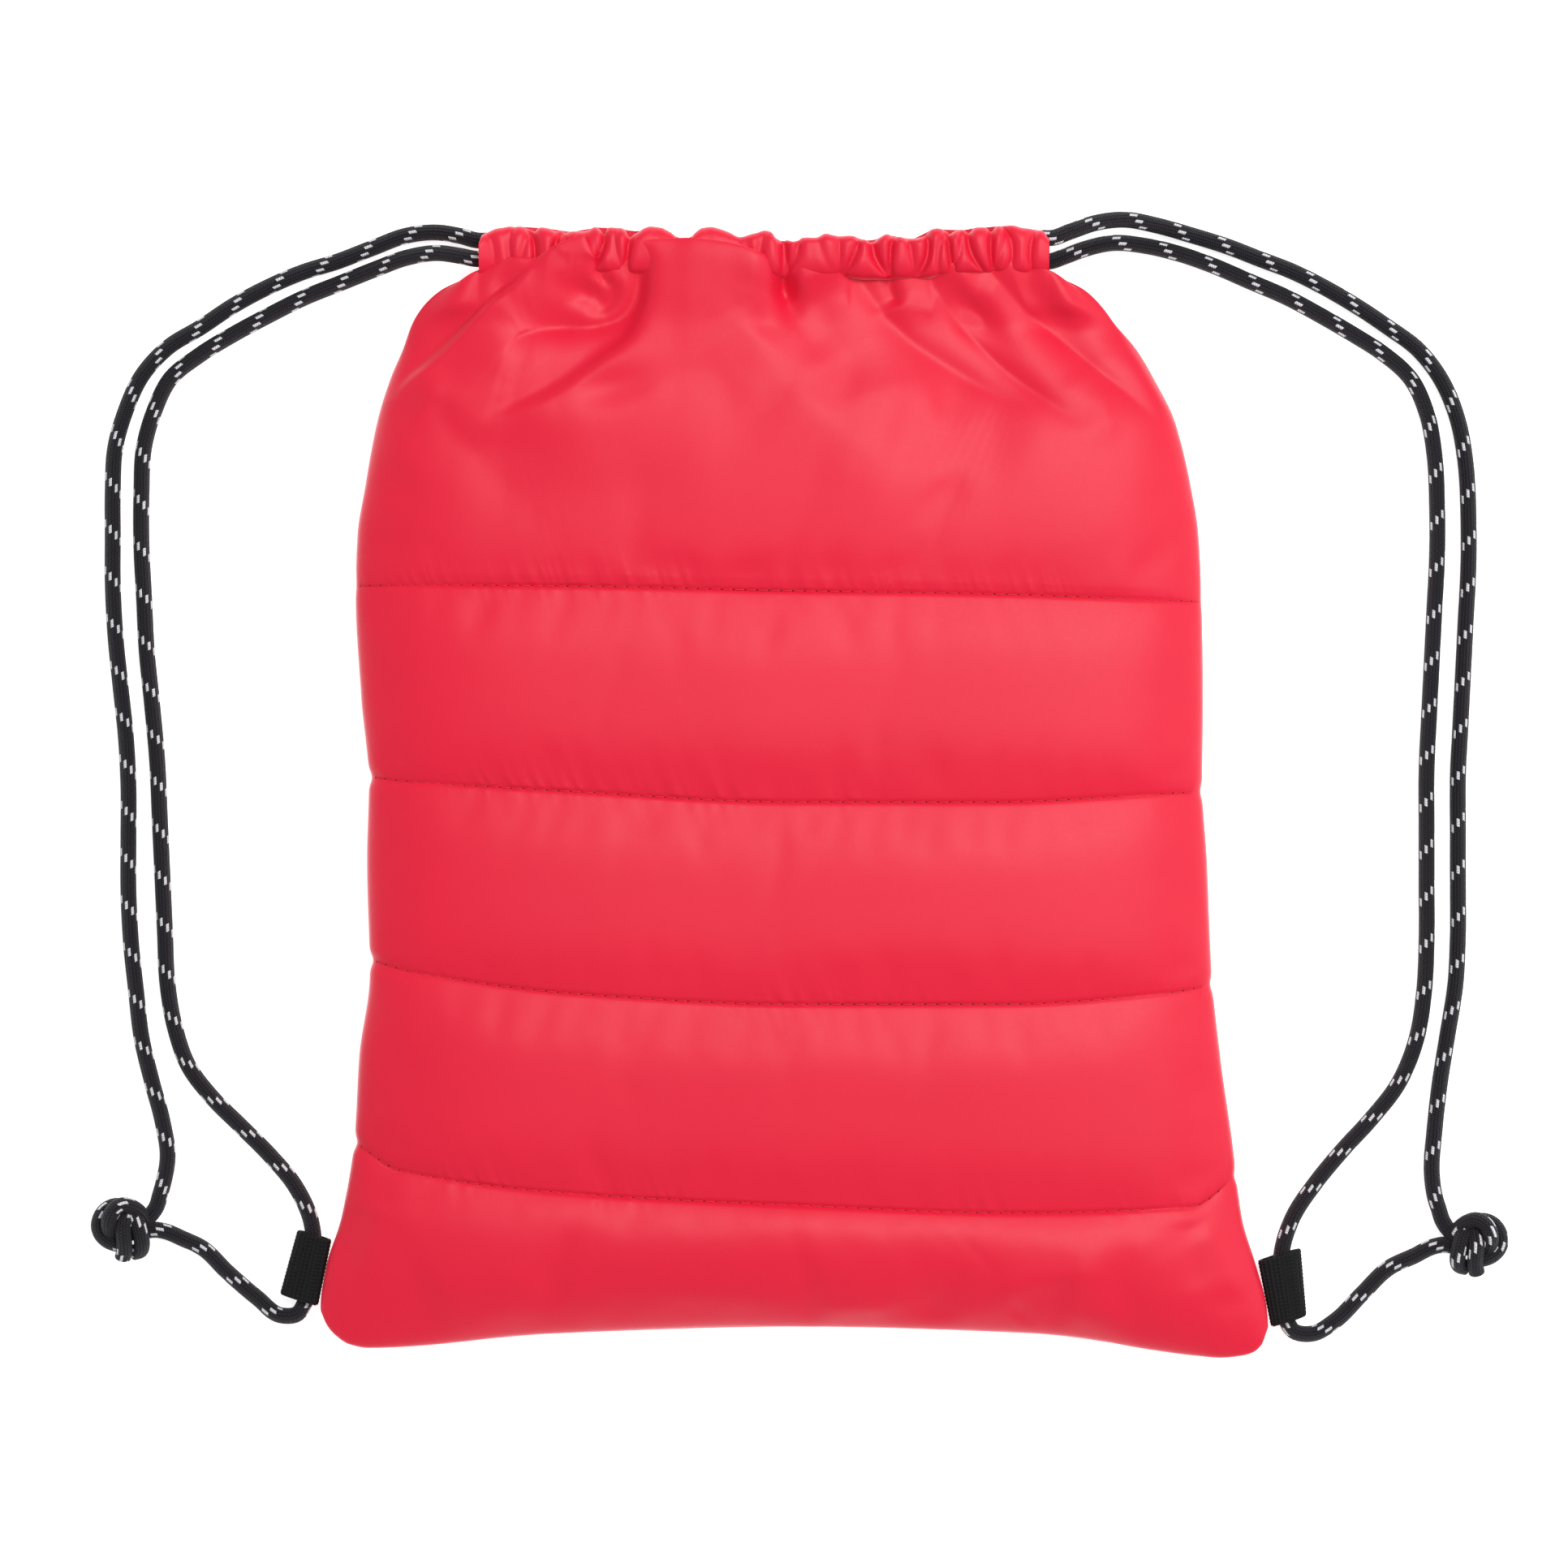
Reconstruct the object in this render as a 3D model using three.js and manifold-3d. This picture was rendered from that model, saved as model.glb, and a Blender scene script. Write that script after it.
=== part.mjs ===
// Quilted puffer drawstring backpack, laid flat on its back on a floor.
// Millimetres, +X to the right, +Y towards the mouth, +Z up off the floor. The origin lies on the
// floor below the middle of the bag.
import * as THREE from 'three';
import { mergeVertices } from 'three/addons/utils/BufferGeometryUtils.js';
import Module from 'manifold-3d';

const wasm = await Module();
wasm.setup();

// Bag body
const bagWidth = 361; // across the bottom corners
const bagHeight = 431; // from the bottom seam to the edge of the casing
const seamHeight = 9; // side and bottom seams above the floor
const crownHeight = 27; // middle of the front padding above the floor, along a stitch line
const stitchedThickness = 2; // padding pressed flat by a stitch line
const frontPuff = 9; // how far the front swells between two stitch lines
const liningPuff = 3; // how far its lining sags there
const backThickness = 5; // back padding along a stitch line
const backPuff = 3; // how far the back's lining rises between two lines
const backLift = 2; // the back's stitch lines above the floor
const foldRise = 6; // the deepest fold of the front
const foldSpread = 10; // half width of a broad fold
const clearance = 0.3; // gap that sewn and touching pieces keep here

// Gathered casings at the mouth
const casingHeight = 17.4;
const casingThickness = 11;
const casingWall = 1.2;
const frontCasingMiddle = 24; // centre of the front casing above the floor, halfway along
const frontCasingEnd = 17.5; // and at its ends
const backCasingCentre = 6;
const endCut = 12; // how much shorter the casings' facing walls are at each end
const gatherRise = 3; // ruffles of the casing's free edge
const gatherSwell = 1.8; // ruffles of its outer face
const bulgeReach = 12; // how far the front's bulge leans over the casing

// Drawstrings
const cordDiameter = 6.2;
const cordSides = 8;
const laneOffset = 4; // each of the two strands in a casing from its middle
const endInset = 3; // where a strand leaves its casing, inside the end

// Webbing loops in the side seams
const webbingWidth = 25;
const webbingThickness = 1.3;
const loopHeight = 10.4;
const loopTilt = 0.3; // how far a loop's outer fold is drawn towards the mouth, for each mm out
// Each loop's middle along the seam, and how far it stands out of the seam at its two ends
const loops = {
  left: { place: -184, outwards: -1, topReach: 13, bottomReach: 14.6 },
  right: { place: -192, outwards: 1, topReach: 16.4, bottomReach: 13.6 },
};

// The outline: half widths to the left and right as shares of bagWidth, at heights that are
// shares of bagHeight from the bag's middle
const outline = [
  { up: 0.458, left: -0.332, right: 0.268 },
  { up: 0.443, left: -0.373, right: 0.306 },
  { up: 0.428, left: -0.393, right: 0.325 },
  { up: 0.414, left: -0.404, right: 0.338 },
  { up: 0.392, left: -0.414, right: 0.361 },
  { up: 0.364, left: -0.428, right: 0.381 },
  { up: 0.328, left: -0.441, right: 0.402 },
  { up: 0.27, left: -0.454, right: 0.419 },
  { up: 0.227, left: -0.462, right: 0.427 },
  { up: 0.177, left: -0.464, right: 0.43 },
  { up: 0.083, left: -0.458, right: 0.432 },
  { up: 0.008, left: -0.45, right: 0.431 },
  { up: -0.061, left: -0.452, right: 0.436 },
  { up: -0.161, left: -0.449, right: 0.441 },
  { up: -0.233, left: -0.46, right: 0.45 },
  { up: -0.305, left: -0.465, right: 0.462 },
  { up: -0.377, left: -0.479, right: 0.473 },
  { up: -0.42, left: -0.495, right: 0.488 },
  { up: -0.456, left: -0.501, right: 0.499 },
  { up: -0.478, left: -0.495, right: 0.501 },
];

// The casing seam, the four stitch lines and the bottom seam. Heights are shares of bagHeight at
// the stations, crown is a share of the way from the seams up to crownHeight, and panes is how
// many strips of the mesh lie between a line and the one above it.
const stations = [0, 0.05, 0.25, 0.5, 0.75, 0.95, 1];
const casingSeam = 0.5 - (casingHeight + clearance) / bagHeight;
const lines = [
  { up: stations.map(() => casingSeam), crown: 0.83, panes: 0 },
  { up: [0.182, 0.182, 0.181, 0.177, 0.174, 0.169, 0.168], crown: 1, panes: 12 },
  { up: [0.013, 0.009, 0, -0.009, -0.009, -0.002, 0], crown: 1, panes: 6 },
  { up: [-0.149, -0.159, -0.178, -0.187, -0.187, -0.177, -0.171], crown: 1, panes: 6 },
  { up: [-0.311, -0.334, -0.354, -0.364, -0.371, -0.366, -0.341], crown: 0.88, panes: 6 },
  { up: [-0.455, -0.492, -0.48, -0.474, -0.48, -0.501, -0.471], crown: 0.8, panes: 4 },
];
const columns = 36;
const strips = lines.reduce((sum, line) => sum + line.panes, 0);

// Main folds of the front. Paths are shares of bagWidth and bagHeight from the bag's middle,
// rise is a share of foldRise, negative for a crease, and spread a share of foldSpread.
const folds = [
  { path: [[-0.261, 0.45], [-0.327, 0.427], [-0.368, 0.392], [-0.433, 0.341]], rise: -0.6, spread: 0.7 },
  { path: [[-0.172, 0.444], [-0.188, 0.423]], rise: 0.5, spread: 0.7 },
  { path: [[-0.161, 0.448], [-0.188, 0.415], [-0.226, 0.412], [-0.297, 0.392]], rise: -1, spread: 0.8 },
  { path: [[-0.161, 0.43], [-0.209, 0.381], [-0.26, 0.35], [-0.344, 0.318]], rise: 0.8, spread: 1 },
  { path: [[-0.24, 0.446], [-0.216, 0.441], [-0.195, 0.438]], rise: -0.5, spread: 0.9 },
  { path: [[-0.368, 0.37], [-0.396, 0.33], [-0.429, 0.287]], rise: 0.4, spread: 0.9 },
  { path: [[-0.222, 0.364], [-0.198, 0.356], [-0.175, 0.342]], rise: -0.4, spread: 1.6 },
  { path: [[-0.056, 0.415], [-0.021, 0.378], [0.018, 0.336]], rise: -0.4, spread: 1.4 },
  { path: [[-0.025, 0.369], [0.042, 0.322], [0.085, 0.291]], rise: 0.35, spread: 1.6 },
  { path: [[0.069, 0.453], [0.119, 0.397], [0.162, 0.372], [0.242, 0.341]], rise: 0.6, spread: 1 },
  { path: [[0.143, 0.448], [0.192, 0.395], [0.269, 0.338], [0.326, 0.31]], rise: -0.8, spread: 0.8 },
  { path: [[0.203, 0.455], [0.276, 0.403], [0.353, 0.35], [0.41, 0.305]], rise: 0.6, spread: 1 },
  { path: [[0.343, 0.412], [0.376, 0.364], [0.406, 0.316]], rise: -0.4, spread: 0.8 },
  { path: [[-0.012, 0.457], [-0.013, 0.439], [-0.001, 0.414]], rise: -0.8, spread: 0.7 },
  { path: [[0.258, -0.42], [0.31, -0.438], [0.362, -0.449]], rise: -0.4, spread: 0.7 },
  { path: [[-0.411, -0.363], [-0.446, -0.406], [-0.463, -0.449]], rise: -0.4, spread: 0.7 },
];

// The bulge of the front that leans over the casing: its ends as shares of bagWidth, and for
// each strip below the casing seam how far it leans, a share of bulgeReach, and how far it
// rises above the top of the casing, a share of frontPuff
const bulge = { left: -0.175, right: -0.008, ease: 0.03 };
const bulgeStrips = [
  { lean: 0.02, rise: 0.08 },
  { lean: 1, rise: 0.14 },
  { lean: 0.8, rise: 0.7 },
  { lean: -0.4, rise: 0.95 },
];

// Ruffles of the front casing from its left end to its right: at is a share of its length,
// rise a share of gatherRise and swell a share of gatherSwell
const gathers = [
  { at: 0, rise: 0.2, swell: 0.2 },
  { at: 0.04, rise: 0.9, swell: 0.6 },
  { at: 0.077, rise: 1, swell: 0.9 },
  { at: 0.097, rise: 0.1, swell: 0.2 },
  { at: 0.112, rise: 0.8, swell: 0.9 },
  { at: 0.129, rise: 0.1, swell: 0.1 },
  { at: 0.146, rise: 0.7, swell: 0.8 },
  { at: 0.16, rise: 0.2, swell: 0.2 },
  { at: 0.19, rise: 0.8, swell: 0.9 },
  { at: 0.216, rise: 0.2, swell: 0.1 },
  { at: 0.238, rise: 0.8, swell: 0.5 },
  { at: 0.265, rise: 0.1, swell: 0 },
  { at: 0.309, rise: 0.7, swell: 0 },
  { at: 0.355, rise: 0.4, swell: 0 },
  { at: 0.405, rise: 0.8, swell: 0 },
  { at: 0.469, rise: 0.6, swell: 0 },
  { at: 0.512, rise: 0.3, swell: 0 },
  { at: 0.534, rise: 0, swell: 0 },
  { at: 0.562, rise: 0.2, swell: 0.5 },
  { at: 0.612, rise: 0.9, swell: 0.8 },
  { at: 0.662, rise: 0.1, swell: 0.2 },
  { at: 0.717, rise: 0.9, swell: 1 },
  { at: 0.755, rise: 0.1, swell: 0.1 },
  { at: 0.772, rise: 0.6, swell: 0.8 },
  { at: 0.788, rise: 0, swell: 0 },
  { at: 0.801, rise: 0.8, swell: 0.9 },
  { at: 0.824, rise: 0.2, swell: 0.2 },
  { at: 0.863, rise: 1, swell: 1 },
  { at: 0.896, rise: 0.2, swell: 0.1 },
  { at: 0.924, rise: 0.8, swell: 0.8 },
  { at: 0.956, rise: 0.5, swell: 0.3 },
  { at: 0.986, rise: 0.8, swell: 0.6 },
  { at: 1, rise: 0.2, swell: 0.2 },
];
// Ruffles of the back casing, softer and wider
const backGathers = Array.from({ length: 22 }, (_, i) => ({
  at: i / 21,
  rise: i % 2 ? 0.5 : 0,
  swell: 0,
}));

// One section of a casing: shares of half its height and half its thickness
const casingSection = [
  [1, 0.45], [0.6, 1], [-0.6, 1], [-1, 0.45], [-1, -0.45], [-0.6, -1], [0.6, -1], [1, -0.45],
];

// The middle line of a webbing loop from the seam out and back: shares of its reach and height
const loopSection = [
  [0, 0.42], [0.1, 0.14], [0.32, 0], [0.62, 0.02], [0.9, 0.18], [1, 0.48], [0.88, 0.76],
  [0.62, 0.94], [0.3, 1], [0, 0.93],
];

// Where the free strands of the drawstrings lie, from the casing's end to the knot
const leftOuterRoute = [
  [-117, 210.8, 6], [-121, 210.8, 6], [-128, 212.6, 5.5], [-137, 214, 4.6], [-148, 213, 3.6], [-162, 208, 3.2],
  [-175, 203, 3.2], [-188, 199, 3.2], [-202, 193, 3.2], [-215, 186, 3.2], [-227, 178, 3.2],
  [-240, 170, 3.2], [-250, 159, 3.2], [-256, 146, 3.2], [-260, 132, 3.2], [-261, 115, 3.2],
  [-261, 98, 3.2], [-261, 80, 3.2], [-260, 60, 3.2], [-258, 40, 3.2], [-256, 21, 3.2],
  [-255, 2, 3.2], [-255, -18, 3.2], [-255, -38, 3.2], [-254, -58, 3.2], [-252, -77, 3.2],
  [-250, -94, 3.2], [-246, -111, 3.2], [-242, -126, 3.2], [-240, -140, 3.2],
  [-241.8, -150.5, 3.2], [-243, -154.7, 3.2], [-244, -158.3, 3.2],
];
const leftInnerRoute = [
  [-117, 202.8, 18], [-121, 202.8, 17.4], [-127, 204, 16.1], [-136, 205.4, 13.2], [-148, 204, 9.2], [-160, 200, 5.6],
  [-173, 195, 3.6], [-188, 189, 3.2], [-202, 182, 3.2], [-215, 175, 3.2], [-228, 167, 3.2],
  [-239, 158, 3.2], [-245, 146, 3.2], [-249, 132, 3.2], [-250, 114, 3.2], [-250, 94, 3.2],
  [-249, 74, 3.2], [-248, 54, 3.2], [-246, 34, 3.2], [-244, 12, 3.2], [-243, -10, 3.2],
  [-242, -32, 3.2], [-241, -54, 3.2], [-240, -74, 3.2], [-237, -91, 3.2], [-232, -105, 3.2],
  [-223, -117, 3.2], [-212, -128, 3.2], [-201, -139, 3.4], [-191, -151, 4.4], [-185, -164, 5.2],
  [-183.8, -174, 5.2], [-185, -186, 5.2], [-187, -194.5, 4.6], [-190.5, -200, 3.6],
  [-196.5, -200.5, 3.2], [-206, -193.5, 3.2], [-217, -184, 3.2], [-227, -174.5, 3.2],
  [-234, -171.2, 3.2], [-241, -168.3, 3.2],
];
const rightOuterRoute = [
  [93.7, 210.8, 18], [97.7, 210.8, 17.4], [105, 213.4, 15.8], [115, 217, 12.6], [126, 218.5, 9], [139, 216.5, 5.4],
  [152, 213, 3.5], [165, 209, 3.2], [178, 204, 3.2], [191, 199, 3.2], [203, 193, 3.2],
  [215, 186, 3.2], [227, 178, 3.2], [239, 169, 3.2], [248, 157, 3.2], [254, 142, 3.2],
  [257, 125, 3.2], [258, 106, 3.2], [258, 86, 3.2], [257, 66, 3.2], [256, 46, 3.2],
  [255, 26, 3.2], [254, 6, 3.2], [254, -14, 3.2], [254, -34, 3.2], [254, -54, 3.2],
  [253, -74, 3.2], [250, -93, 3.2], [247, -112, 3.2], [245, -130, 3.2], [244, -146, 3.2],
  [245.3, -155.5, 3.2], [246.7, -160, 3.2], [248, -164, 3.2],
];
const rightInnerRoute = [
  [93.7, 202.8, 6], [97.7, 202.8, 6], [103, 204.6, 5.7], [111, 207.6, 5], [122, 210, 4], [134, 209, 3.3],
  [147, 206, 3.2], [160, 201.5, 3.2], [174, 195.5, 3.2], [189, 189, 3.2], [202, 182, 3.2],
  [214, 175, 3.2], [225, 168, 3.2], [236, 158, 3.2], [242, 145, 3.2], [245, 129, 3.2],
  [246, 110, 3.2], [246, 90, 3.2], [245, 70, 3.2], [244, 50, 3.2], [243, 30, 3.2],
  [242, 8, 3.2], [242, -14, 3.2], [242, -36, 3.2], [242, -57, 3.2], [241, -77, 3.2],
  [238, -95, 3.2], [231, -112, 3.2], [221, -125, 3.2], [210, -137, 3.2], [200, -149, 3.6],
  [190.6, -163, 4.8], [186.4, -176, 5.2], [186.4, -190, 5.2], [187.4, -200, 5], [191.3, -206.6, 3.8],
  [198, -207.5, 3.2], [207, -202.5, 3.2], [217, -192.5, 3.2], [228, -182, 3.2],
  [237, -177.8, 3.2], [245, -174, 3.2],
];

// The turns of the right knot from its middle; the left one is its mirror image. The first two
// runs meet the two strands, then come the turn over the top, the outer turn, the rounded turn
// beside the strands and the tail with its cut end.
const knotRuns = [
  [[-13.45, 9, 3.2], [-12.3, 6.2, 3.2], [-9.2, 3.6, 3.6], [-4, 1, 5]],
  [[-16.25, -0.45, 3.2], [-13.5, 0.85, 3.2], [-9, 1.4, 3.6], [-3, 1, 4.6]],
  [[-6.4, 6.8, 6.4], [-4.4, 9, 8.6], [-1.3, 9.8, 10.4], [1.6, 8.4, 11.4], [3.6, 5.4, 11.8], [4, 2, 9.6]],
  [[2, 9, 5.4], [6, 7.6, 5.6], [8.2, 3.6, 5.8], [8, -0.9, 5.8], [5.4, -3.7, 6], [0.6, -5, 6]],
  [[-5.2, 5.6, 7.4], [-7, 1.9, 9], [-7.9, -1.8, 9], [-8.2, -5, 7.6], [-7.4, -7.6, 4.6]],
  [[-1.7, 4.6, 8.6], [-1.3, 0.3, 10.6], [-1.6, -3.8, 10.2], [-1.7, -7, 8.8], [-0.8, -10.2, 7]],
];
const knotMiddle = { left: [-257.6, -167.7], right: [261.6, -173.4] };
const knotCore = [7.6, 6.6, 5.2];

// Colours of the pieces
const fabric = { color: 0xe0344a, roughness: 0.45, metalness: 0 };
const webbing = { color: 0x1c1c1f, roughness: 0.8, metalness: 0 };
const braid = { color: 0x26242a, roughness: 0.75, metalness: 0 };

const lerp = (a, b, t) => a + (b - a) * t;
const clamp = (value, low = 0, high = 1) => Math.min(high, Math.max(low, value));
const smoothstep = (t) => clamp(t) ** 2 * (3 - 2 * clamp(t));

// A smooth curve through (xs, ys), xs rising, that never overshoots its points
function curveThrough(xs, ys) {
  const slopes = xs.slice(1).map((x, i) => (ys[i + 1] - ys[i]) / (x - xs[i]));
  const tangents = xs.map((_, i) => {
    const before = slopes[Math.max(i - 1, 0)];
    const after = slopes[Math.min(i, slopes.length - 1)];
    return before * after > 0 ? (2 * before * after) / (before + after) : 0;
  });
  return (x) => {
    let i = 0;
    while (i < xs.length - 2 && x > xs[i + 1]) {
      i += 1;
    }
    const width = xs[i + 1] - xs[i];
    const t = clamp((x - xs[i]) / width);
    const rise = ys[i + 1] - ys[i];
    return ys[i] + t * t * (3 - 2 * t) * rise
      + width * t * (1 - t) * ((1 - t) * tangents[i] - t * tangents[i + 1]);
  };
}

const upward = [...outline].reverse();
const edgeShare = {
  left: curveThrough(upward.map((row) => row.up), upward.map((row) => row.left)),
  right: curveThrough(upward.map((row) => row.up), upward.map((row) => row.right)),
};
const edgeAt = (side, y) => bagWidth * edgeShare[side](y / bagHeight);
const lineAt = lines.map((line) => curveThrough(stations, line.up));

// The line below a strip boundary, and how far the boundary is from the line above it
function paneOf(strip) {
  let first = 0;
  let line = 1;
  while (strip > first + lines[line].panes) {
    first += lines[line].panes;
    line += 1;
  }
  return { line, t: (strip - first) / lines[line].panes };
}

// A place on the bag's face: across is 0 at the left seam and 1 at the right one
function placeOf(across, strip) {
  const { line, t } = paneOf(strip);
  const height = (share) => bagHeight * lerp(lineAt[line - 1](share), lineAt[line](share), t);
  const x = lerp(edgeAt('left', height(0)), edgeAt('right', height(1)), across);
  return { x, y: height(across), line, t };
}

// Columns stand closer together towards the side seams
const columnAt = (i) => {
  const share = i / columns;
  return share - (0.3 * Math.sin(2 * Math.PI * share)) / (2 * Math.PI);
};

const puffAt = (t) => Math.sin(Math.PI * clamp(t)) ** 0.75;
const lastLine = lines.length - 1;
const neckShare = (line, t) => (line === 1 ? 1 - smoothstep(t / 0.4) : 0);

// How far the padding has risen from the seams: 0 at a seam and 1 in the middle
function fullness(across, line, t) {
  const off = Math.abs(2 * across - 1);
  const body = Math.sqrt(1 - off ** 6);
  const neck = 1 - off ** 2.5;
  const bottom = line === lastLine ? Math.sqrt(1 - t ** 2.5) : 1;
  return lerp(body, neck, neckShare(line, t)) * bottom;
}

// Height of the padding's middle on the crown, at a strip boundary
function crownOf(line, t) {
  const heights = lines.map((row) => lerp(seamHeight, crownHeight, row.crown));
  heights[0] = frontCasingMiddle;
  return lerp(heights[line - 1], heights[line], smoothstep(t));
}

// Height of the underside of the front's edge, and of the back's upper side, along a side seam
const edgeOpening = (line, t) => (line === 1 ? 1 - smoothstep(t / 0.25) : 0);
const frontEdge = (line, t) => lerp(
  seamHeight + clearance / 2,
  frontCasingEnd - stitchedThickness / 2,
  edgeOpening(line, t),
);
const backEdge = (line, t) => lerp(
  seamHeight - clearance / 2,
  backCasingCentre + stitchedThickness / 2,
  edgeOpening(line, t),
);

// Distance from a point to a path, and how far along the path the nearest point lies
function nearestOn(path, x, y) {
  let best = { distance: Infinity, along: 0 };
  for (let i = 0; i < path.length - 1; i += 1) {
    const [ax, ay] = path[i];
    const [bx, by] = path[i + 1];
    const length = (bx - ax) ** 2 + (by - ay) ** 2;
    const t = clamp(((x - ax) * (bx - ax) + (y - ay) * (by - ay)) / length);
    const distance = Math.hypot(x - lerp(ax, bx, t), y - lerp(ay, by, t));
    if (distance < best.distance) {
      best = { distance, along: (i + t) / (path.length - 1) };
    }
  }
  return best;
}

const foldPaths = folds.map((fold) => ({
  path: fold.path.map(([x, y]) => [x * bagWidth, y * bagHeight]),
  rise: fold.rise * foldRise,
  spread: fold.spread * foldSpread,
}));

function foldHeight(x, y) {
  let height = 0;
  for (const fold of foldPaths) {
    const { distance, along } = nearestOn(fold.path, x, y);
    const fade = 0.35 + 0.65 * Math.sin(Math.PI * along);
    height += fold.rise * fade * Math.exp(-((distance / fold.spread) ** 2));
  }
  return height;
}

// How much of the bulge there is at x
function bulgeShare(x) {
  const share = x / bagWidth;
  return smoothstep((share - bulge.left) / bulge.ease)
    * smoothstep((bulge.right - share) / bulge.ease);
}

function frontLining(across, strip) {
  const { x, y, line, t } = placeOf(across, strip);
  const top = crownOf(line, t) - stitchedThickness / 2 - liningPuff * puffAt(t);
  return [x, y, lerp(frontEdge(line, t), top, fullness(across, line, t))];
}

function frontFace(across, strip) {
  const place = placeOf(across, strip);
  const { x, line, t } = place;
  const full = fullness(across, line, t);
  const top = crownOf(line, t) + stitchedThickness / 2 + frontPuff * puffAt(t);
  const edge = frontEdge(line, t) + stitchedThickness;
  const fold = foldHeight(x, place.y) * Math.sqrt(puffAt(t)) * full;
  let { y } = place;
  let z = lerp(edge, top, full) + fold;
  const leaning = strip >= 1 && strip <= bulgeStrips.length ? bulgeStrips[strip - 1] : null;
  if (leaning) {
    const share = bulgeShare(x);
    const seam = bagHeight * casingSeam;
    const over = casingCentre(x) + casingThickness / 2 + frontPuff * leaning.rise;
    y = lerp(y, seam - clearance + bulgeReach * leaning.lean, share);
    z = lerp(z, over, share);
  }
  return [x, y, z];
}

function backLining(across, strip) {
  const { x, y, line, t } = placeOf(across, strip);
  const full = clamp(1.15 * fullness(across, line, t));
  return [x, y, lerp(backEdge(line, t), backThickness + backPuff * puffAt(t), full)];
}

function backFace(across, strip) {
  const { x, y, line, t } = placeOf(across, strip);
  const full = clamp(1.15 * fullness(across, line, t));
  const low = backLift * Math.max(0, 1 - 1.8 * puffAt(t));
  return [x, y, lerp(backEdge(line, t) - stitchedThickness, low, full)];
}

// A closed mesh from points and faces, with its faces turned to the outside
function closedGeometry(points, faces) {
  const volume = faces.reduce((sum, [a, b, c]) => {
    const [p, q, r] = [a, b, c].map((i) => new THREE.Vector3(...points[i]));
    return sum + p.dot(q.cross(r));
  }, 0);
  const outward = volume < 0 ? faces.map(([a, b, c]) => [a, c, b]) : faces;
  const geometry = new THREE.BufferGeometry();
  geometry.setAttribute('position', new THREE.Float32BufferAttribute(points.flat(), 3));
  geometry.setIndex(outward.flat());
  return geometry;
}

// Two faces over the same part of the bag, closed along the rim. Each face has a point at every
// so many columns and strips, and the upper one may be finer than the lower one.
function paddedPanel(upper, lower, upperStep, lowerStep) {
  const points = [];
  const faces = [];
  const indexOf = new Map();
  const layFace = (name, surface, step) => {
    for (let j = 0; j <= strips; j += step) {
      for (let i = 0; i <= columns; i += step) {
        indexOf.set(`${name} ${i} ${j}`, points.length);
        points.push(surface(columnAt(i), j));
      }
    }
    const at = (i, j) => indexOf.get(`${name} ${i} ${j}`);
    for (let j = 0; j < strips; j += step) {
      for (let i = 0; i < columns; i += step) {
        const quad = [at(i, j), at(i + step, j), at(i + step, j + step), at(i, j + step)];
        const sides = name === 'upper' ? quad : [...quad].reverse();
        faces.push([sides[0], sides[2], sides[1]], [sides[0], sides[3], sides[2]]);
      }
    }
  };
  layFace('upper', upper, upperStep);
  layFace('lower', lower, lowerStep);

  const rim = [];
  for (let i = 0; i < columns; i += 1) rim.push([i, 0]);
  for (let j = 0; j < strips; j += 1) rim.push([columns, j]);
  for (let i = columns; i > 0; i -= 1) rim.push([i, strips]);
  for (let j = strips; j > 0; j -= 1) rim.push([0, j]);
  const rimPoint = (name, k) => indexOf.get(`${name} ${rim[k % rim.length].join(' ')}`);
  for (let k = 0; k < rim.length; k += lowerStep) {
    const a = rimPoint('lower', k);
    const b = rimPoint('lower', k + lowerStep);
    for (let step = 0; step < lowerStep; step += upperStep) {
      const c = rimPoint('upper', k + step);
      const d = rimPoint('upper', k + step + upperStep);
      faces.push([c, d, step === 0 ? a : b]);
    }
    faces.push([rimPoint('upper', k + upperStep), b, a]);
  }
  return closedGeometry(points, faces);
}

// A casing's middle line: straight in Y, and sagging towards its ends in Z
const casingLeft = edgeAt('left', bagHeight * casingSeam);
const casingRight = edgeAt('right', bagHeight * casingSeam);
const casingLine = bagHeight / 2 - casingHeight / 2;
function casingCentre(x) {
  const across = clamp((x - casingLeft) / (casingRight - casingLeft));
  const sag = 1 - Math.abs(2 * across - 1) ** 2.5;
  return lerp(frontCasingEnd, frontCasingMiddle, sag);
}

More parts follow.
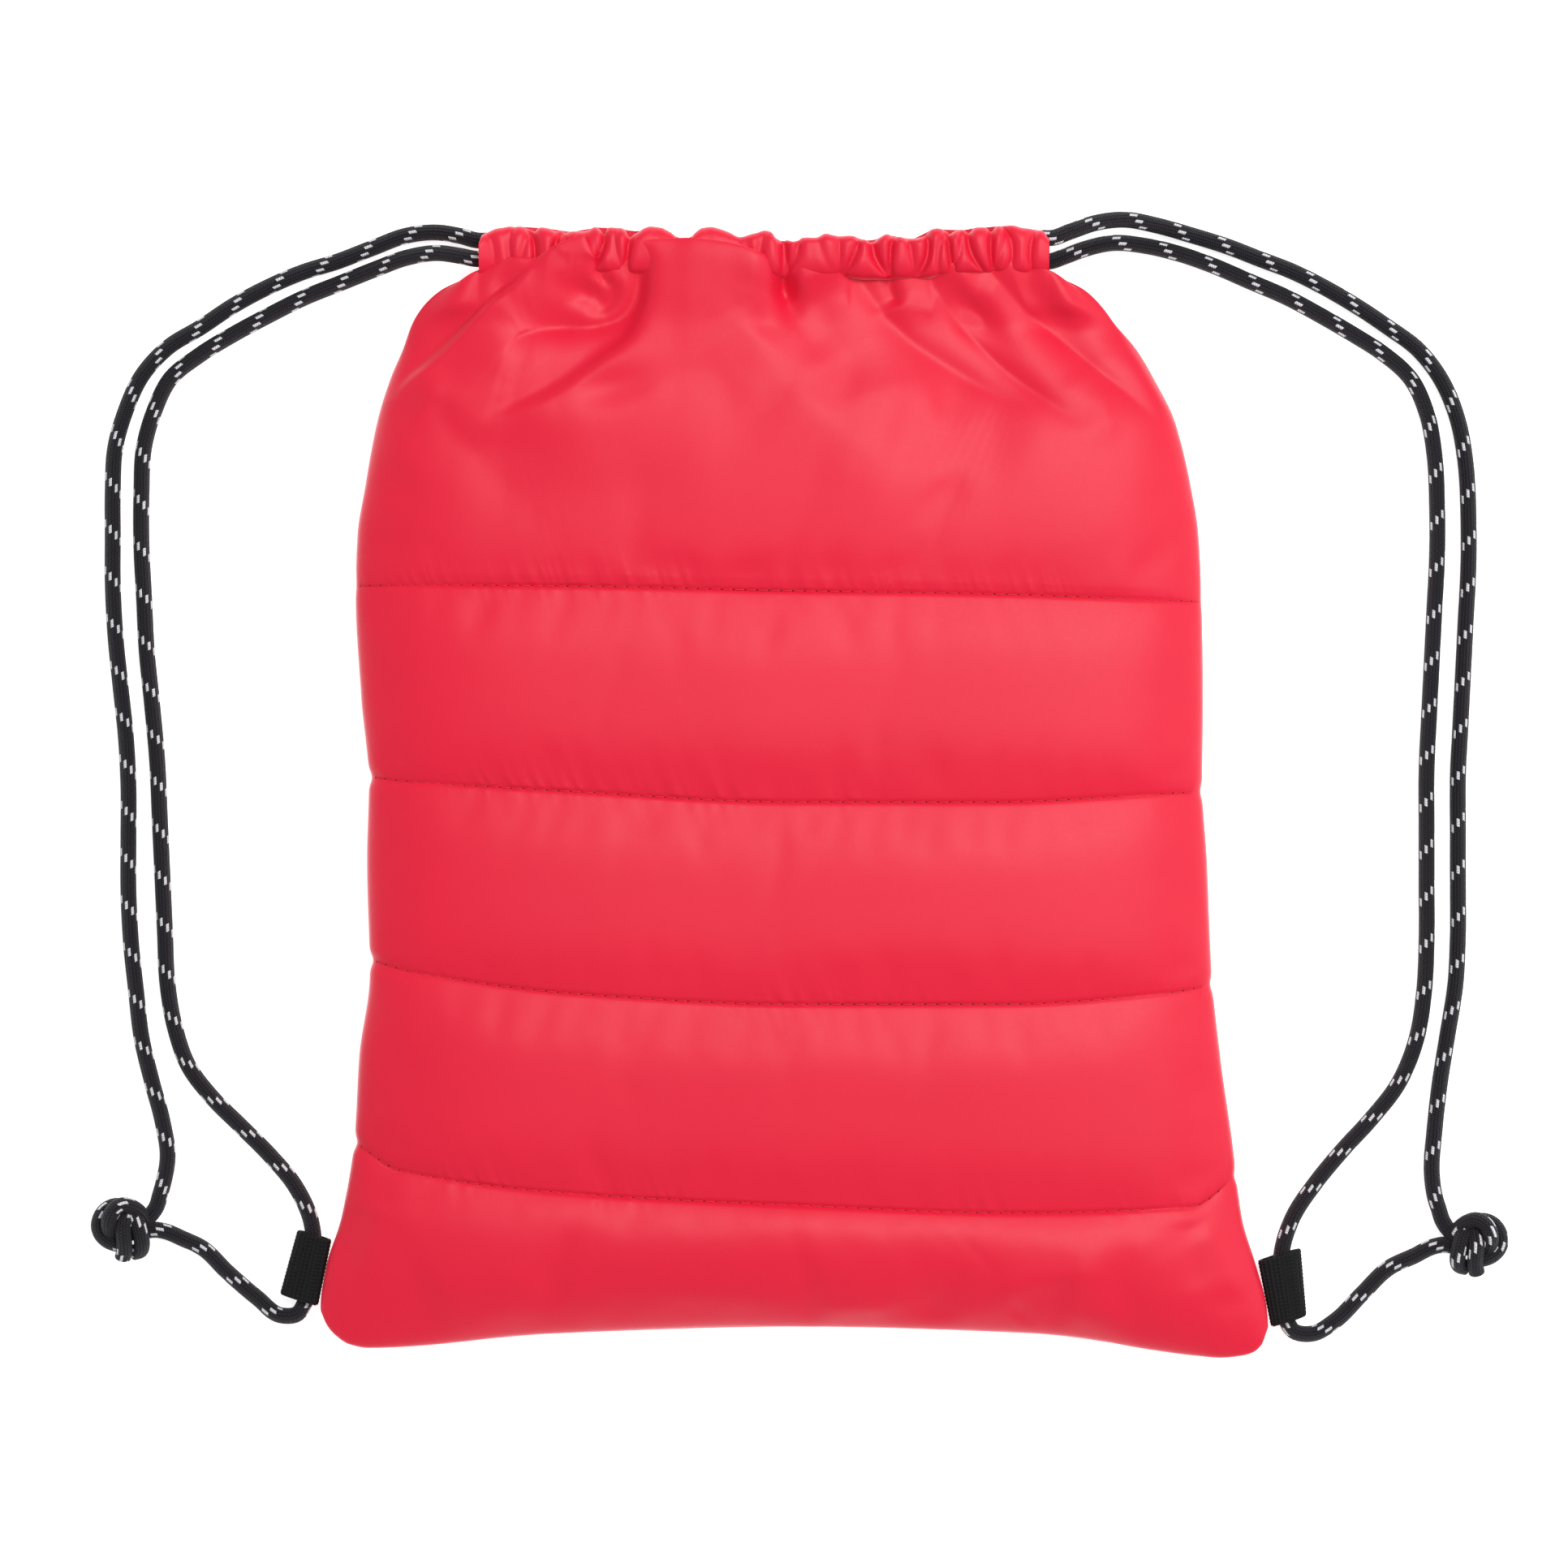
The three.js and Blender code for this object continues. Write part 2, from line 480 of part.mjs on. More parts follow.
// A tube of fabric along X with an open end on each side. facing is 1 where the wall that faces
// the other casing is the upper one, -1 where it is the lower one.
function casing(table, centreAt, facing) {
  const middle = (casingLeft + casingRight) / 2;
  const half = (casingRight - casingLeft) / 2;
  const facingShare = (half - endCut) / half;
  const points = [];
  const faces = [];
  const sides = casingSection.length;
  for (const wall of [0, casingWall]) {
    for (const gather of table) {
      const along = lerp(casingLeft, casingRight, gather.at);
      for (const [up, out] of casingSection) {
        const isFacing = out * facing > 0;
        const x = isFacing ? middle + (along - middle) * facingShare : along;
        const ruffle = wall === 0 ? 1 : 0;
        const rise = up > 0 ? ruffle * gatherRise * gather.rise : 0;
        const swell = isFacing ? 0 : -facing * ruffle * gatherSwell * gather.swell;
        const y = casingLine + (casingHeight / 2 - wall) * up + rise;
        const z = centreAt(x) + (casingThickness / 2 - wall) * out + swell;
        points.push([x, y, z]);
      }
    }
  }
  const at = (layer, column, side) => (layer * table.length + column) * sides + (side % sides);
  const quad = (a, b, c, d) => faces.push([a, b, c], [a, c, d]);
  for (let side = 0; side < sides; side += 1) {
    for (let column = 0; column < table.length - 1; column += 1) {
      const next = column + 1;
      quad(at(0, column, side), at(0, next, side), at(0, next, side + 1), at(0, column, side + 1));
      quad(at(1, column, side + 1), at(1, next, side + 1), at(1, next, side), at(1, column, side));
    }
    const last = table.length - 1;
    quad(at(0, 0, side + 1), at(1, 0, side + 1), at(1, 0, side), at(0, 0, side));
    quad(at(0, last, side), at(1, last, side), at(1, last, side + 1), at(0, last, side + 1));
  }
  return closedGeometry(points, faces);
}

// A cord's middle line with one ring at each chosen point
class Route extends THREE.CatmullRomCurve3 {
  getPointAt(share, target) {
    return this.getPoint(share, target);
  }

  getTangentAt(share, target) {
    return this.getTangent(share, target);
  }
}

function cord(points) {
  const section = new THREE.Shape(Array.from({ length: cordSides }, (_, i) => {
    const angle = (2 * Math.PI * (i + 0.5)) / cordSides;
    return new THREE.Vector2(Math.cos(angle), Math.sin(angle)).multiplyScalar(cordDiameter / 2);
  }));
  const extrudePath = new Route(points.map((point) => new THREE.Vector3(...point)));
  return new THREE.ExtrudeGeometry(section, { steps: points.length - 1, extrudePath });
}

// One strand through the front casing, around at its far end and back through the back casing.
// side is 1 where the cord leaves the bag at the right end and -1 where it leaves at the left.
function channelRoute(side) {
  const inset = endInset + clearance;
  const near = side > 0 ? casingRight - inset : casingLeft + inset;
  const far = side > 0 ? casingLeft + endCut : casingRight - endCut;
  const frontLane = casingLine + side * laneOffset;
  const backLane = casingLine - side * laneOffset;
  const stretch = 12;
  const shares = Array.from({ length: stretch }, (_, i) => i / stretch);
  const front = shares.map((share) => {
    const x = lerp(near, far, share);
    return [x, frontLane, casingCentre(x)];
  });
  const start = new THREE.Vector3(far, frontLane, casingCentre(far));
  const end = new THREE.Vector3(far, backLane, backCasingCentre);
  const centre = start.clone().add(end).multiplyScalar(0.5);
  const toStart = start.clone().sub(centre);
  const turns = 8;
  const bight = Array.from({ length: turns + 1 }, (_, i) => {
    const angle = (Math.PI * i) / turns;
    const point = centre.clone().addScaledVector(toStart, Math.cos(angle));
    point.x -= side * toStart.length() * Math.sin(angle);
    return point.toArray();
  });
  const back = shares.map((share) => [lerp(near, far, share), backLane, backCasingCentre]);
  return [...front, ...bight, ...back.reverse()];
}

// The loop of webbing in a side seam, cut across it: a band with a hole for the cord
function loopShape(reach) {
  const line = loopSection.map(([out, up]) => new THREE.Vector2(
    webbingThickness / 2 + out * (reach - webbingThickness),
    webbingThickness / 2 + up * (loopHeight - webbingThickness),
  ));
  const offset = (distance) => line.map((point, i) => {
    const before = line[(i + line.length - 1) % line.length];
    const after = line[(i + 1) % line.length];
    const along = after.clone().sub(before).normalize();
    return new THREE.Vector2(point.x + along.y * distance, point.y - along.x * distance);
  });
  const shape = new THREE.Shape(offset(webbingThickness / 2));
  shape.holes.push(new THREE.Path(offset(-webbingThickness / 2)));
  return shape;
}

// Its seam side follows the bag's edge, and its webbing's width lies along the seam
function webbingLoop(side) {
  const { place, outwards, topReach, bottomReach } = loops[side];
  const reach = (topReach + bottomReach) / 2;
  const ends = [-webbingWidth / 2, webbingWidth / 2];
  const edges = ends.map((end) => edgeAt(side, place + end));
  const bow = Math.max(0, outwards * (edgeAt(side, place) - (edges[0] + edges[1]) / 2));
  const geometry = new THREE.ExtrudeGeometry(loopShape(reach), {
    depth: webbingWidth,
    bevelEnabled: false,
  });
  const position = geometry.getAttribute('position');
  for (let i = 0; i < position.count; i += 1) {
    const share = position.getZ(i) / webbingWidth;
    const out = position.getX(i) * (lerp(bottomReach, topReach, share) / reach);
    const x = lerp(edges[0], edges[1], share) + outwards * (clearance + bow + out);
    const y = place + lerp(ends[0], ends[1], share) + loopTilt * out;
    position.setXYZ(i, x, y, position.getY(i));
  }
  return outwards < 0 ? geometry : turned(geometry);
}

// The same faces seen from the other side, as a mirrored piece needs them
function turned(geometry) {
  const position = geometry.getAttribute('position');
  for (let i = 0; i < position.count; i += 3) {
    const [b, c] = [1, 2].map((k) => new THREE.Vector3().fromBufferAttribute(position, i + k));
    position.setXYZ(i + 1, c.x, c.y, c.z);
    position.setXYZ(i + 2, b.x, b.y, b.z);
  }
  return geometry;
}

function asSolid(geometry) {
  geometry.deleteAttribute('normal');
  geometry.deleteAttribute('uv');
  const merged = mergeVertices(geometry, 1e-4);
  return new wasm.Manifold(new wasm.Mesh({
    numProp: 3,
    vertProperties: new Float32Array(merged.attributes.position.array),
    triVerts: new Uint32Array(merged.index.array),
  }));
}

function asGeometry(solid) {
  const mesh = solid.getMesh();
  const geometry = new THREE.BufferGeometry();
  geometry.setAttribute('position', new THREE.Float32BufferAttribute(mesh.vertProperties, 3));
  geometry.setIndex(new THREE.Uint32BufferAttribute(mesh.triVerts, 1));
  return geometry;
}

// The stopper knot: its turns joined around a solid middle
function knot(side) {
  const mirror = side === 'left' ? -1 : 1;
  const core = new THREE.SphereGeometry(1, 10, 6);
  core.rotateX(Math.PI / 2);
  core.scale(...knotCore);
  core.translate(0, 0, knotCore[2] + clearance);
  const runs = knotRuns.map((run) => cord(run.map(([x, y, z]) => [mirror * x, y, z])));
  const solid = runs.reduce((sum, run) => sum.add(asSolid(run)), asSolid(core));
  return asGeometry(solid);
}

const group = new THREE.Group();
function addPiece(name, geometry, look) {
  const mesh = new THREE.Mesh(geometry, new THREE.MeshStandardMaterial(look));
  mesh.name = name;
  group.add(mesh);
  return mesh;
}

addPiece('front_panel', paddedPanel(frontFace, frontLining, 1, 2), fabric);
addPiece('back_panel', paddedPanel(backLining, backFace, 2, 2), fabric);
addPiece('front_casing', casing(gathers, casingCentre, -1), fabric);
addPiece('back_casing', casing(backGathers, () => backCasingCentre, 1), fabric);

addPiece('webbing_loop_left', webbingLoop('left'), webbing);
addPiece('webbing_loop_right', webbingLoop('right'), webbing);

addPiece('cord_left_channel', cord(channelRoute(-1)), braid);
addPiece('cord_right_channel', cord(channelRoute(1)), braid);
addPiece('cord_left_outer', cord(leftOuterRoute), braid);
addPiece('cord_left_inner', cord(leftInnerRoute), braid);
addPiece('cord_right_outer', cord(rightOuterRoute), braid);
addPiece('cord_right_inner', cord(rightInnerRoute), braid);

for (const side of ['left', 'right']) {
  const [x, y] = knotMiddle[side];
  addPiece(`knot_${side}`, knot(side), braid).position.set(x, y, 0);
}

export default group;
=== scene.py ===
"""Quilted puffer drawstring backpack: looks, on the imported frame.

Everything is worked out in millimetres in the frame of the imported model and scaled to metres
when a mesh is made. Places read off the photograph are in its pixels, 0.31 mm each.
"""
import math

import bpy
import numpy as np
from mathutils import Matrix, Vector


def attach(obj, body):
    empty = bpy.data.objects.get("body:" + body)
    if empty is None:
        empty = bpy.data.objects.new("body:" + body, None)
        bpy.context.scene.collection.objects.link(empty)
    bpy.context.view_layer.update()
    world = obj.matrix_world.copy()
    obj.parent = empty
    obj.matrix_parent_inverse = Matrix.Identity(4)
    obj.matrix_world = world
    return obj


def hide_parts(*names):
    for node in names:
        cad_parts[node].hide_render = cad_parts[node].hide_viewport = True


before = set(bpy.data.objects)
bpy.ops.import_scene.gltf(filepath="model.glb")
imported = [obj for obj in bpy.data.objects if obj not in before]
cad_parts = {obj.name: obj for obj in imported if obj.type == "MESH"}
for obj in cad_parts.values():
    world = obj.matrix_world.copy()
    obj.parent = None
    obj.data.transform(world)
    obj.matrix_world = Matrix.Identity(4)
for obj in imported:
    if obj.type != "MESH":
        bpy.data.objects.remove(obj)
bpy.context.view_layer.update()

MM = 0.001
PIXEL = 0.31
ORIGIN_PX = (979, 975.5)


def photo_x(px):
    return (px - ORIGIN_PX[0]) * PIXEL


def photo(px, py):
    """A pixel of the photograph as x and y in millimetres."""
    return photo_x(px), (ORIGIN_PX[1] - py) * PIXEL


def photo_path(*points):
    return np.array([photo(*p) for p in points], float)


# ---- small maths
def lerp(a, b, t):
    return a + (b - a) * t


def clamp(v):
    return np.minimum(1.0, np.maximum(0.0, v))


def smoothstep(t):
    t = clamp(t)
    return t * t * (3 - 2 * t)


def curve_through(xs, ys):
    """A smooth curve through the points that never overshoots them, for arrays of x."""
    xs, ys = np.asarray(xs, float), np.asarray(ys, float)
    width = np.diff(xs)
    slopes = np.diff(ys) / width
    before = np.concatenate([slopes[:1], slopes])
    after = np.concatenate([slopes, slopes[-1:]])
    product = before * after
    total = np.where(before + after == 0, 1, before + after)
    tangents = np.where(product > 0, 2 * product / total, 0)

    def at(x):
        x = np.asarray(x, float)
        i = np.clip(np.searchsorted(xs, x, side="left") - 1, 0, len(xs) - 2)
        t = clamp((x - xs[i]) / width[i])
        rise = ys[i + 1] - ys[i]
        bend = width[i] * t * (1 - t) * ((1 - t) * tangents[i] - t * tangents[i + 1])
        return ys[i] + t * t * (3 - 2 * t) * rise + bend

    return at


def hermite(a, b, slope_a, slope_b, t, step):
    """A cubic from a to b over a step, t being the share of it passed."""
    return (
        (2 * t**3 - 3 * t**2 + 1) * a + (t**3 - 2 * t**2 + t) * step * slope_a
        + (3 * t**2 - 2 * t**3) * b + (t**3 - t**2) * step * slope_b
    )


def waves(length, cell, seed):
    """Smooth seeded noise along a line, about -1 to 1, with one free value per cell."""
    values = np.random.default_rng(seed).uniform(-1, 1, int(length / cell) + 6)

    def at(s):
        p = np.asarray(s, float) / cell + 2
        i = np.clip(np.floor(p).astype(int), 1, len(values) - 3)
        f = p - i
        a, b, c, d = values[i - 1], values[i], values[i + 1], values[i + 2]
        return b + 0.5 * f * (c - a + f * (2 * a - 5 * b + 4 * c - d + f * (3 * (b - c) + d - a)))

    return at


# ---- mesh helpers
def new_object(name, points, faces, materials, uv=None):
    """A mesh object from points in millimetres. uv has one row for each corner of each face."""
    mesh = bpy.data.meshes.new(name)
    points = np.asarray(points, float) * MM
    mesh.from_pydata(points.tolist(), [], faces if isinstance(faces, list) else faces.tolist())
    mesh.polygons.foreach_set("use_smooth", [True] * len(mesh.polygons))
    if uv is not None:
        layer = mesh.uv_layers.new(name="UVMap")
        layer.data.foreach_set("uv", np.asarray(uv, float).ravel())
    mesh.update()
    obj = bpy.data.objects.new(name, mesh)
    bpy.context.scene.collection.objects.link(obj)
    for material in materials:
        mesh.materials.append(material)
    return obj


def bag_piece(name, node, points, faces, materials, uv=None):
    """A visible piece of the bag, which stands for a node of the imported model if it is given."""
    obj = new_object(name, points, faces, materials, uv)
    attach(obj, "root")
    if node:
        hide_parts(node)
    return obj


def grid_faces(rows, columns, wrap=False, start=0):
    """Quads of a grid of points laid out row by row."""
    last = columns if wrap else columns - 1
    j, i = np.meshgrid(np.arange(rows - 1), np.arange(last), indexing="ij")
    k = (i + 1) % columns
    a, b = j * columns + i, j * columns + k
    return np.stack([a, b, b + columns, a + columns], -1).reshape(-1, 4) + start


def spline(points, spacing):
    """Points a fixed distance apart on a smooth curve through the given ones."""
    p = np.asarray(points, float)
    chord = np.linalg.norm(np.diff(p, axis=0), axis=1)
    knots = np.concatenate([[0], np.cumsum(chord)])
    slope = np.diff(p, axis=0) / chord[:, None]
    tangent = np.empty_like(p)
    tangent[0], tangent[-1] = slope[0], slope[-1]
    weight = (chord[1:] / (chord[1:] + chord[:-1]))[:, None]
    tangent[1:-1] = weight * slope[:-1] + (1 - weight) * slope[1:]
    dense = np.linspace(0, knots[-1], int(knots[-1] / 0.25) + 2)
    i = np.clip(np.searchsorted(knots, dense, side="right") - 1, 0, len(chord) - 1)
    t = ((dense - knots[i]) / chord[i])[:, None]
    out = hermite(p[i], p[i + 1], tangent[i], tangent[i + 1], t, chord[i][:, None])
    run = np.concatenate([[0], np.cumsum(np.linalg.norm(np.diff(out, axis=0), axis=1))])
    steps = np.linspace(0, run[-1], max(2, int(round(run[-1] / spacing)) + 1))
    return np.stack([np.interp(steps, run, out[:, k]) for k in range(3)], 1), steps


def frames_along(path):
    """Two unit vectors across the path at each point, turning as little as they can."""
    tangent = np.gradient(path, axis=0)
    tangent /= np.linalg.norm(tangent, axis=1)[:, None]
    side = np.cross([0, 0, 1], tangent[0])
    if np.linalg.norm(side) < 1e-6:
        side = np.array([1.0, 0, 0])
    sides = []
    for t in tangent:
        side = side - t * np.dot(side, t)
        side = side / np.linalg.norm(side)
        sides.append(side)
    sides = np.array(sides)
    return sides, np.cross(tangent, sides)


def tube(path, along, radius, sides=24):
    """Points, faces and UV of a closed tube. U goes round once, V is the length in millimetres."""
    a, b = frames_along(path)
    angle = np.linspace(0, 2 * np.pi, sides, endpoint=False)
    r = np.broadcast_to(radius, (len(path),))[:, None, None]
    ring = a[:, None] * np.cos(angle)[None, :, None] + b[:, None] * np.sin(angle)[None, :, None]
    points = (path[:, None] + ring * r).reshape(-1, 3)
    faces = grid_faces(len(path), sides, wrap=True).tolist()
    turn = np.arange(sides) / sides
    low = np.stack(np.meshgrid(turn, along[:-1], indexing="xy"), -1).reshape(-1, 2)
    high = np.stack(np.meshgrid(turn, along[1:], indexing="xy"), -1).reshape(-1, 2)
    step = np.array([1 / sides, 0])
    corners = np.stack([low, low + step, high + step, high], 1).reshape(-1, 2)
    faces.append(list(range(sides - 1, -1, -1)))
    faces.append([(len(path) - 1) * sides + k for k in range(sides)])
    ends = np.repeat([[0.02, along[0]], [0.02, along[-1]]], sides, axis=0)
    return points, faces, np.concatenate([corners, ends])


def joined(parts):
    """One list of points, faces and UV from several."""
    points, faces, uvs, used = [], [], [], 0
    for p, f, uv in parts:
        points.append(p)
        faces += [[k + used for k in face] for face in f]
        uvs.append(uv)
        used += len(p)
    return np.concatenate(points), faces, np.concatenate(uvs)


# ---- camera, floor and lights
CAMERA_HEIGHT = 2.5
PHOTO_SIDE = 1932
# The picture is this wide at the height of the side seams
CAMERA_REACH = PHOTO_SIDE * PIXEL * MM
SEAM_LEVEL = 0.009
view_x, view_y = photo(PHOTO_SIDE / 2, PHOTO_SIDE / 2)

camera_data = bpy.data.cameras.new("camera")
camera_data.sensor_width = 36
camera_data.lens = 36 * (CAMERA_HEIGHT - SEAM_LEVEL) / CAMERA_REACH
camera_data.clip_start, camera_data.clip_end = 0.1, 20
camera = bpy.data.objects.new("camera", camera_data)
camera.location = (view_x * MM, view_y * MM, CAMERA_HEIGHT)
bpy.context.scene.collection.objects.link(camera)
bpy.context.scene.camera = camera


class Nodes:
    """A short way to write shader nodes: values and sockets go in, a socket comes out."""

    def __init__(self, name):
        self.material = bpy.data.materials.new(name)
        self.material.use_nodes = True
        self.tree = self.material.node_tree
        self.shader = self.tree.nodes["Principled BSDF"]

    def feed(self, socket, value):
        if isinstance(value, bpy.types.NodeSocket):
            self.tree.links.new(value, socket)
        else:
            socket.default_value = value

    def math(self, operation, a, b=0.0, c=None):
        node = self.tree.nodes.new("ShaderNodeMath")
        node.operation = operation
        for k, value in enumerate((a, b, c)):
            if value is not None:
                self.feed(node.inputs[k], value)
        return node.outputs[0]

    def ramp(self, value, low, high):
        """0 below low, 1 above high, smooth between."""
        node = self.tree.nodes.new("ShaderNodeMapRange")
        node.interpolation_type = "SMOOTHSTEP"
        for k, one in enumerate((value, low, high, 0.0, 1.0)):
            self.feed(node.inputs[k], one)
        return node.outputs[0]

    def mix(self, share, a, b):
        node = self.tree.nodes.new("ShaderNodeMix")
        node.data_type = "RGBA"
        self.feed(node.inputs[0], share)
        self.feed(node.inputs[6], a)
        self.feed(node.inputs[7], b)
        return node.outputs[2]

    def noise(self, vector, scale, detail):
        node = self.tree.nodes.new("ShaderNodeTexNoise")
        self.feed(node.inputs["Vector"], vector)
        node.inputs["Scale"].default_value = scale
        node.inputs["Detail"].default_value = detail
        return node.outputs[0]

    def place(self, kind="Object"):
        return self.tree.nodes.new("ShaderNodeTexCoord").outputs[kind]

    def split(self, vector):
        node = self.tree.nodes.new("ShaderNodeSeparateXYZ")
        self.feed(node.inputs[0], vector)
        return node.outputs[0], node.outputs[1], node.outputs[2]

    def bump(self, height, distance, strength=1.0):
        node = self.tree.nodes.new("ShaderNodeBump")
        node.inputs["Strength"].default_value = strength
        node.inputs["Distance"].default_value = distance
        self.feed(node.inputs["Height"], height)
        return node.outputs[0]

    def set(self, **values):
        for name, value in values.items():
            self.feed(self.shader.inputs[name.replace("_", " ")], value)
        return self.material


def plain_material(name, color, **values):
    return Nodes(name).set(Base_Color=(*color, 1), **values)


floor = new_object(
    "floor",
    [(-4000, -4000, 0), (4000, -4000, 0), (4000, 4000, 0), (-4000, 4000, 0)],
    [(0, 1, 2, 3)],
    [plain_material(
        "floor_paper", (0.9, 0.9, 0.9), Roughness=0.9,
        Emission_Color=(1, 1, 1, 1), Emission_Strength=0.75,
    )],
)


def softbox(name, place, size, power):
    """A lamp that faces the middle of the bag."""
    data = bpy.data.lights.new(name, "AREA")
    data.shape = "RECTANGLE"
    data.size, data.size_y = size
    data.energy = power
    light = bpy.data.objects.new(name, data)
    light.location = place
    light.rotation_mode = "QUATERNION"
    light.rotation_quaternion = (-Vector(place)).to_track_quat("-Z", "Y")
    bpy.context.scene.collection.objects.link(light)


softbox("softbox_over", (0.75, 1.0, 2.8), (1.3, 1.1), 57)
softbox("softbox_foot", (0, -2.4, 1.5), (2.6, 1.2), 2)
softbox("softbox_left", (-2.4, 0.2, 1.3), (1.2, 2.4), 3)
softbox("softbox_right", (2.4, 0.2, 1.3), (1.2, 2.4), 14)

world = bpy.data.worlds.new("studio")
world.use_nodes = True
background = world.node_tree.nodes["Background"].inputs
background[0].default_value, background[1].default_value = (1, 1, 1, 1), 0.47
bpy.context.scene.world = world
bpy.context.scene.view_settings.view_transform = "Standard"


# ---- materials
# In millimetres along a cord
BRAID_COLUMNS = 16
BRAID_PITCH = 0.9
FLECK_PITCH = 18.0
FLECK_LENGTH = 3.0
# In metres
WARP_PITCH, WEFT_PITCH = 0.00042, 0.00036
WEBBING_ROW_PITCH = 0.0014


def braid_material(name, hand):
    """Black braided cord with a pair of white tracer yarns that wind round it."""
    n = Nodes(name)
    u, v, _ = n.split(n.place("UV"))
    column = n.math("MULTIPLY", u, BRAID_COLUMNS)
    across = n.math("FRACT", column)
    odd = n.math("MODULO", n.math("FLOOR", column), 2.0)
    turn = n.math("MULTIPLY_ADD", odd, -2.0, 1.0)
    lean = n.math("MULTIPLY", n.math("MULTIPLY", turn, across), 0.55 * hand)
    stroke = n.math("FRACT", n.math("ADD", n.math("DIVIDE", v, BRAID_PITCH), lean))
    ridge = n.math("SINE", n.math("MULTIPLY", stroke, math.pi))
    crown = n.math("SINE", n.math("MULTIPLY", across, math.pi))
    height = n.math("MULTIPLY", n.math("POWER", ridge, 0.6), n.math("POWER", crown, 0.5))
    pairs = BRAID_COLUMNS / 2
    row = n.math("DIVIDE", n.math("FLOOR", n.math("MULTIPLY", u, pairs)), pairs)
    helix = n.math("FRACT", n.math("MULTIPLY_ADD", row, hand, n.math("DIVIDE", v, FLECK_PITCH)))
    tilt = -0.5 * hand * BRAID_PITCH / FLECK_PITCH
    slant = n.math("MULTIPLY_ADD", n.math("MULTIPLY", turn, across), tilt, helix)
    inside = n.math("LESS_THAN", n.math("FRACT", slant), FLECK_LENGTH / FLECK_PITCH)
    even = n.math("LESS_THAN", odd, 0.5)
    white = n.math("MULTIPLY", n.math("MULTIPLY", inside, even), n.ramp(height, 0.02, 0.14))
    # Painted shade: the braid's colour is darker down between its strokes and lighter on their crowns
    groove_shaded = n.mix(n.ramp(height, 0.2, 0.9), (0.0015, 0.0014, 0.002, 1), (0.023, 0.02, 0.029, 1))
    fuzz = n.noise(n.place(), 2200, 1)
    worn = n.mix(n.ramp(fuzz, 0.55, 0.9), groove_shaded, (0.028, 0.025, 0.034, 1))
    color = n.mix(white, worn, (0.86, 0.86, 0.9, 1))
    return n.set(
        Base_Color=color, Roughness=0.62, Normal=n.bump(height, 0.0006), Specular_IOR_Level=0.3,
        Sheen_Weight=0.04, Sheen_Roughness=0.4,
    )


def fabric_material(name, color, deep):
    """Satin woven polyester: fine weave, a soft sheen and slight shifts of tone."""
    n = Nodes(name)
    place = n.place()
    x, y, _ = n.split(place)
    warp = n.math("SINE", n.math("MULTIPLY", x, 2 * math.pi / WARP_PITCH))
    weft = n.math("SINE", n.math("MULTIPLY", y, 2 * math.pi / WEFT_PITCH))
    weave = n.math("MULTIPLY", warp, weft)
    slub = n.noise(place, 900, 2)
    tone = n.noise(place, 14, 3)
    grain = n.noise(place, 2400, 1)
    slow = n.math("MULTIPLY", n.ramp(tone, 0.3, 0.7), 0.35)
    share = n.math("MULTIPLY_ADD", n.ramp(grain, 0.25, 0.75), 0.65, slow)
    base = n.mix(share, (*deep, 1), (*color, 1))
    height = n.math("MULTIPLY_ADD", weave, 0.35, slub)
    rough = n.math("MULTIPLY_ADD", slub, 0.08, 0.42)
    return n.set(
        Base_Color=base, Roughness=rough, Normal=n.bump(height, 0.00004, 0.6),
        Specular_IOR_Level=0.38, Sheen_Weight=0.55, Sheen_Roughness=0.3,
        Sheen_Tint=(1.0, 0.7, 0.72, 1),
    )


def webbing_material(name):
    n = Nodes(name)
    place = n.place()
    _, y, _ = n.split(place)
    rows = n.math("SINE", n.math("MULTIPLY", y, 2 * math.pi / WEBBING_ROW_PITCH))
    fuzz = n.noise(place, 2400, 2)
    color = n.mix(n.ramp(fuzz, 0.5, 0.85), (0.002, 0.002, 0.0025, 1), (0.013, 0.013, 0.016, 1))
    height = n.math("MULTIPLY_ADD", rows, 0.3, fuzz)
    return n.set(
        Base_Color=color, Roughness=0.7, Normal=n.bump(height, 0.00018, 0.8),
        Specular_IOR_Level=0.25,
    )


red = fabric_material("red_satin", (0.80, 0.006, 0.038), (0.74, 0.005, 0.035))
red_thread = plain_material("red_thread", (0.66, 0.006, 0.03), Roughness=0.6)
# Painted shade: the needle holes' dark colour stands in for the shade inside them
needle_hole_shade = plain_material("needle_hole_shade", (0.09, 0.003, 0.012), Roughness=0.9)
black_webbing = webbing_material("ribbed_webbing")
braids = {"left": braid_material("braid_left", 1), "right": braid_material("braid_right", -1)}


# ---- free cords
CORD_DIAMETER = 6.2
# The height of a cord's middle where it lies on the floor
LYING = 3.2
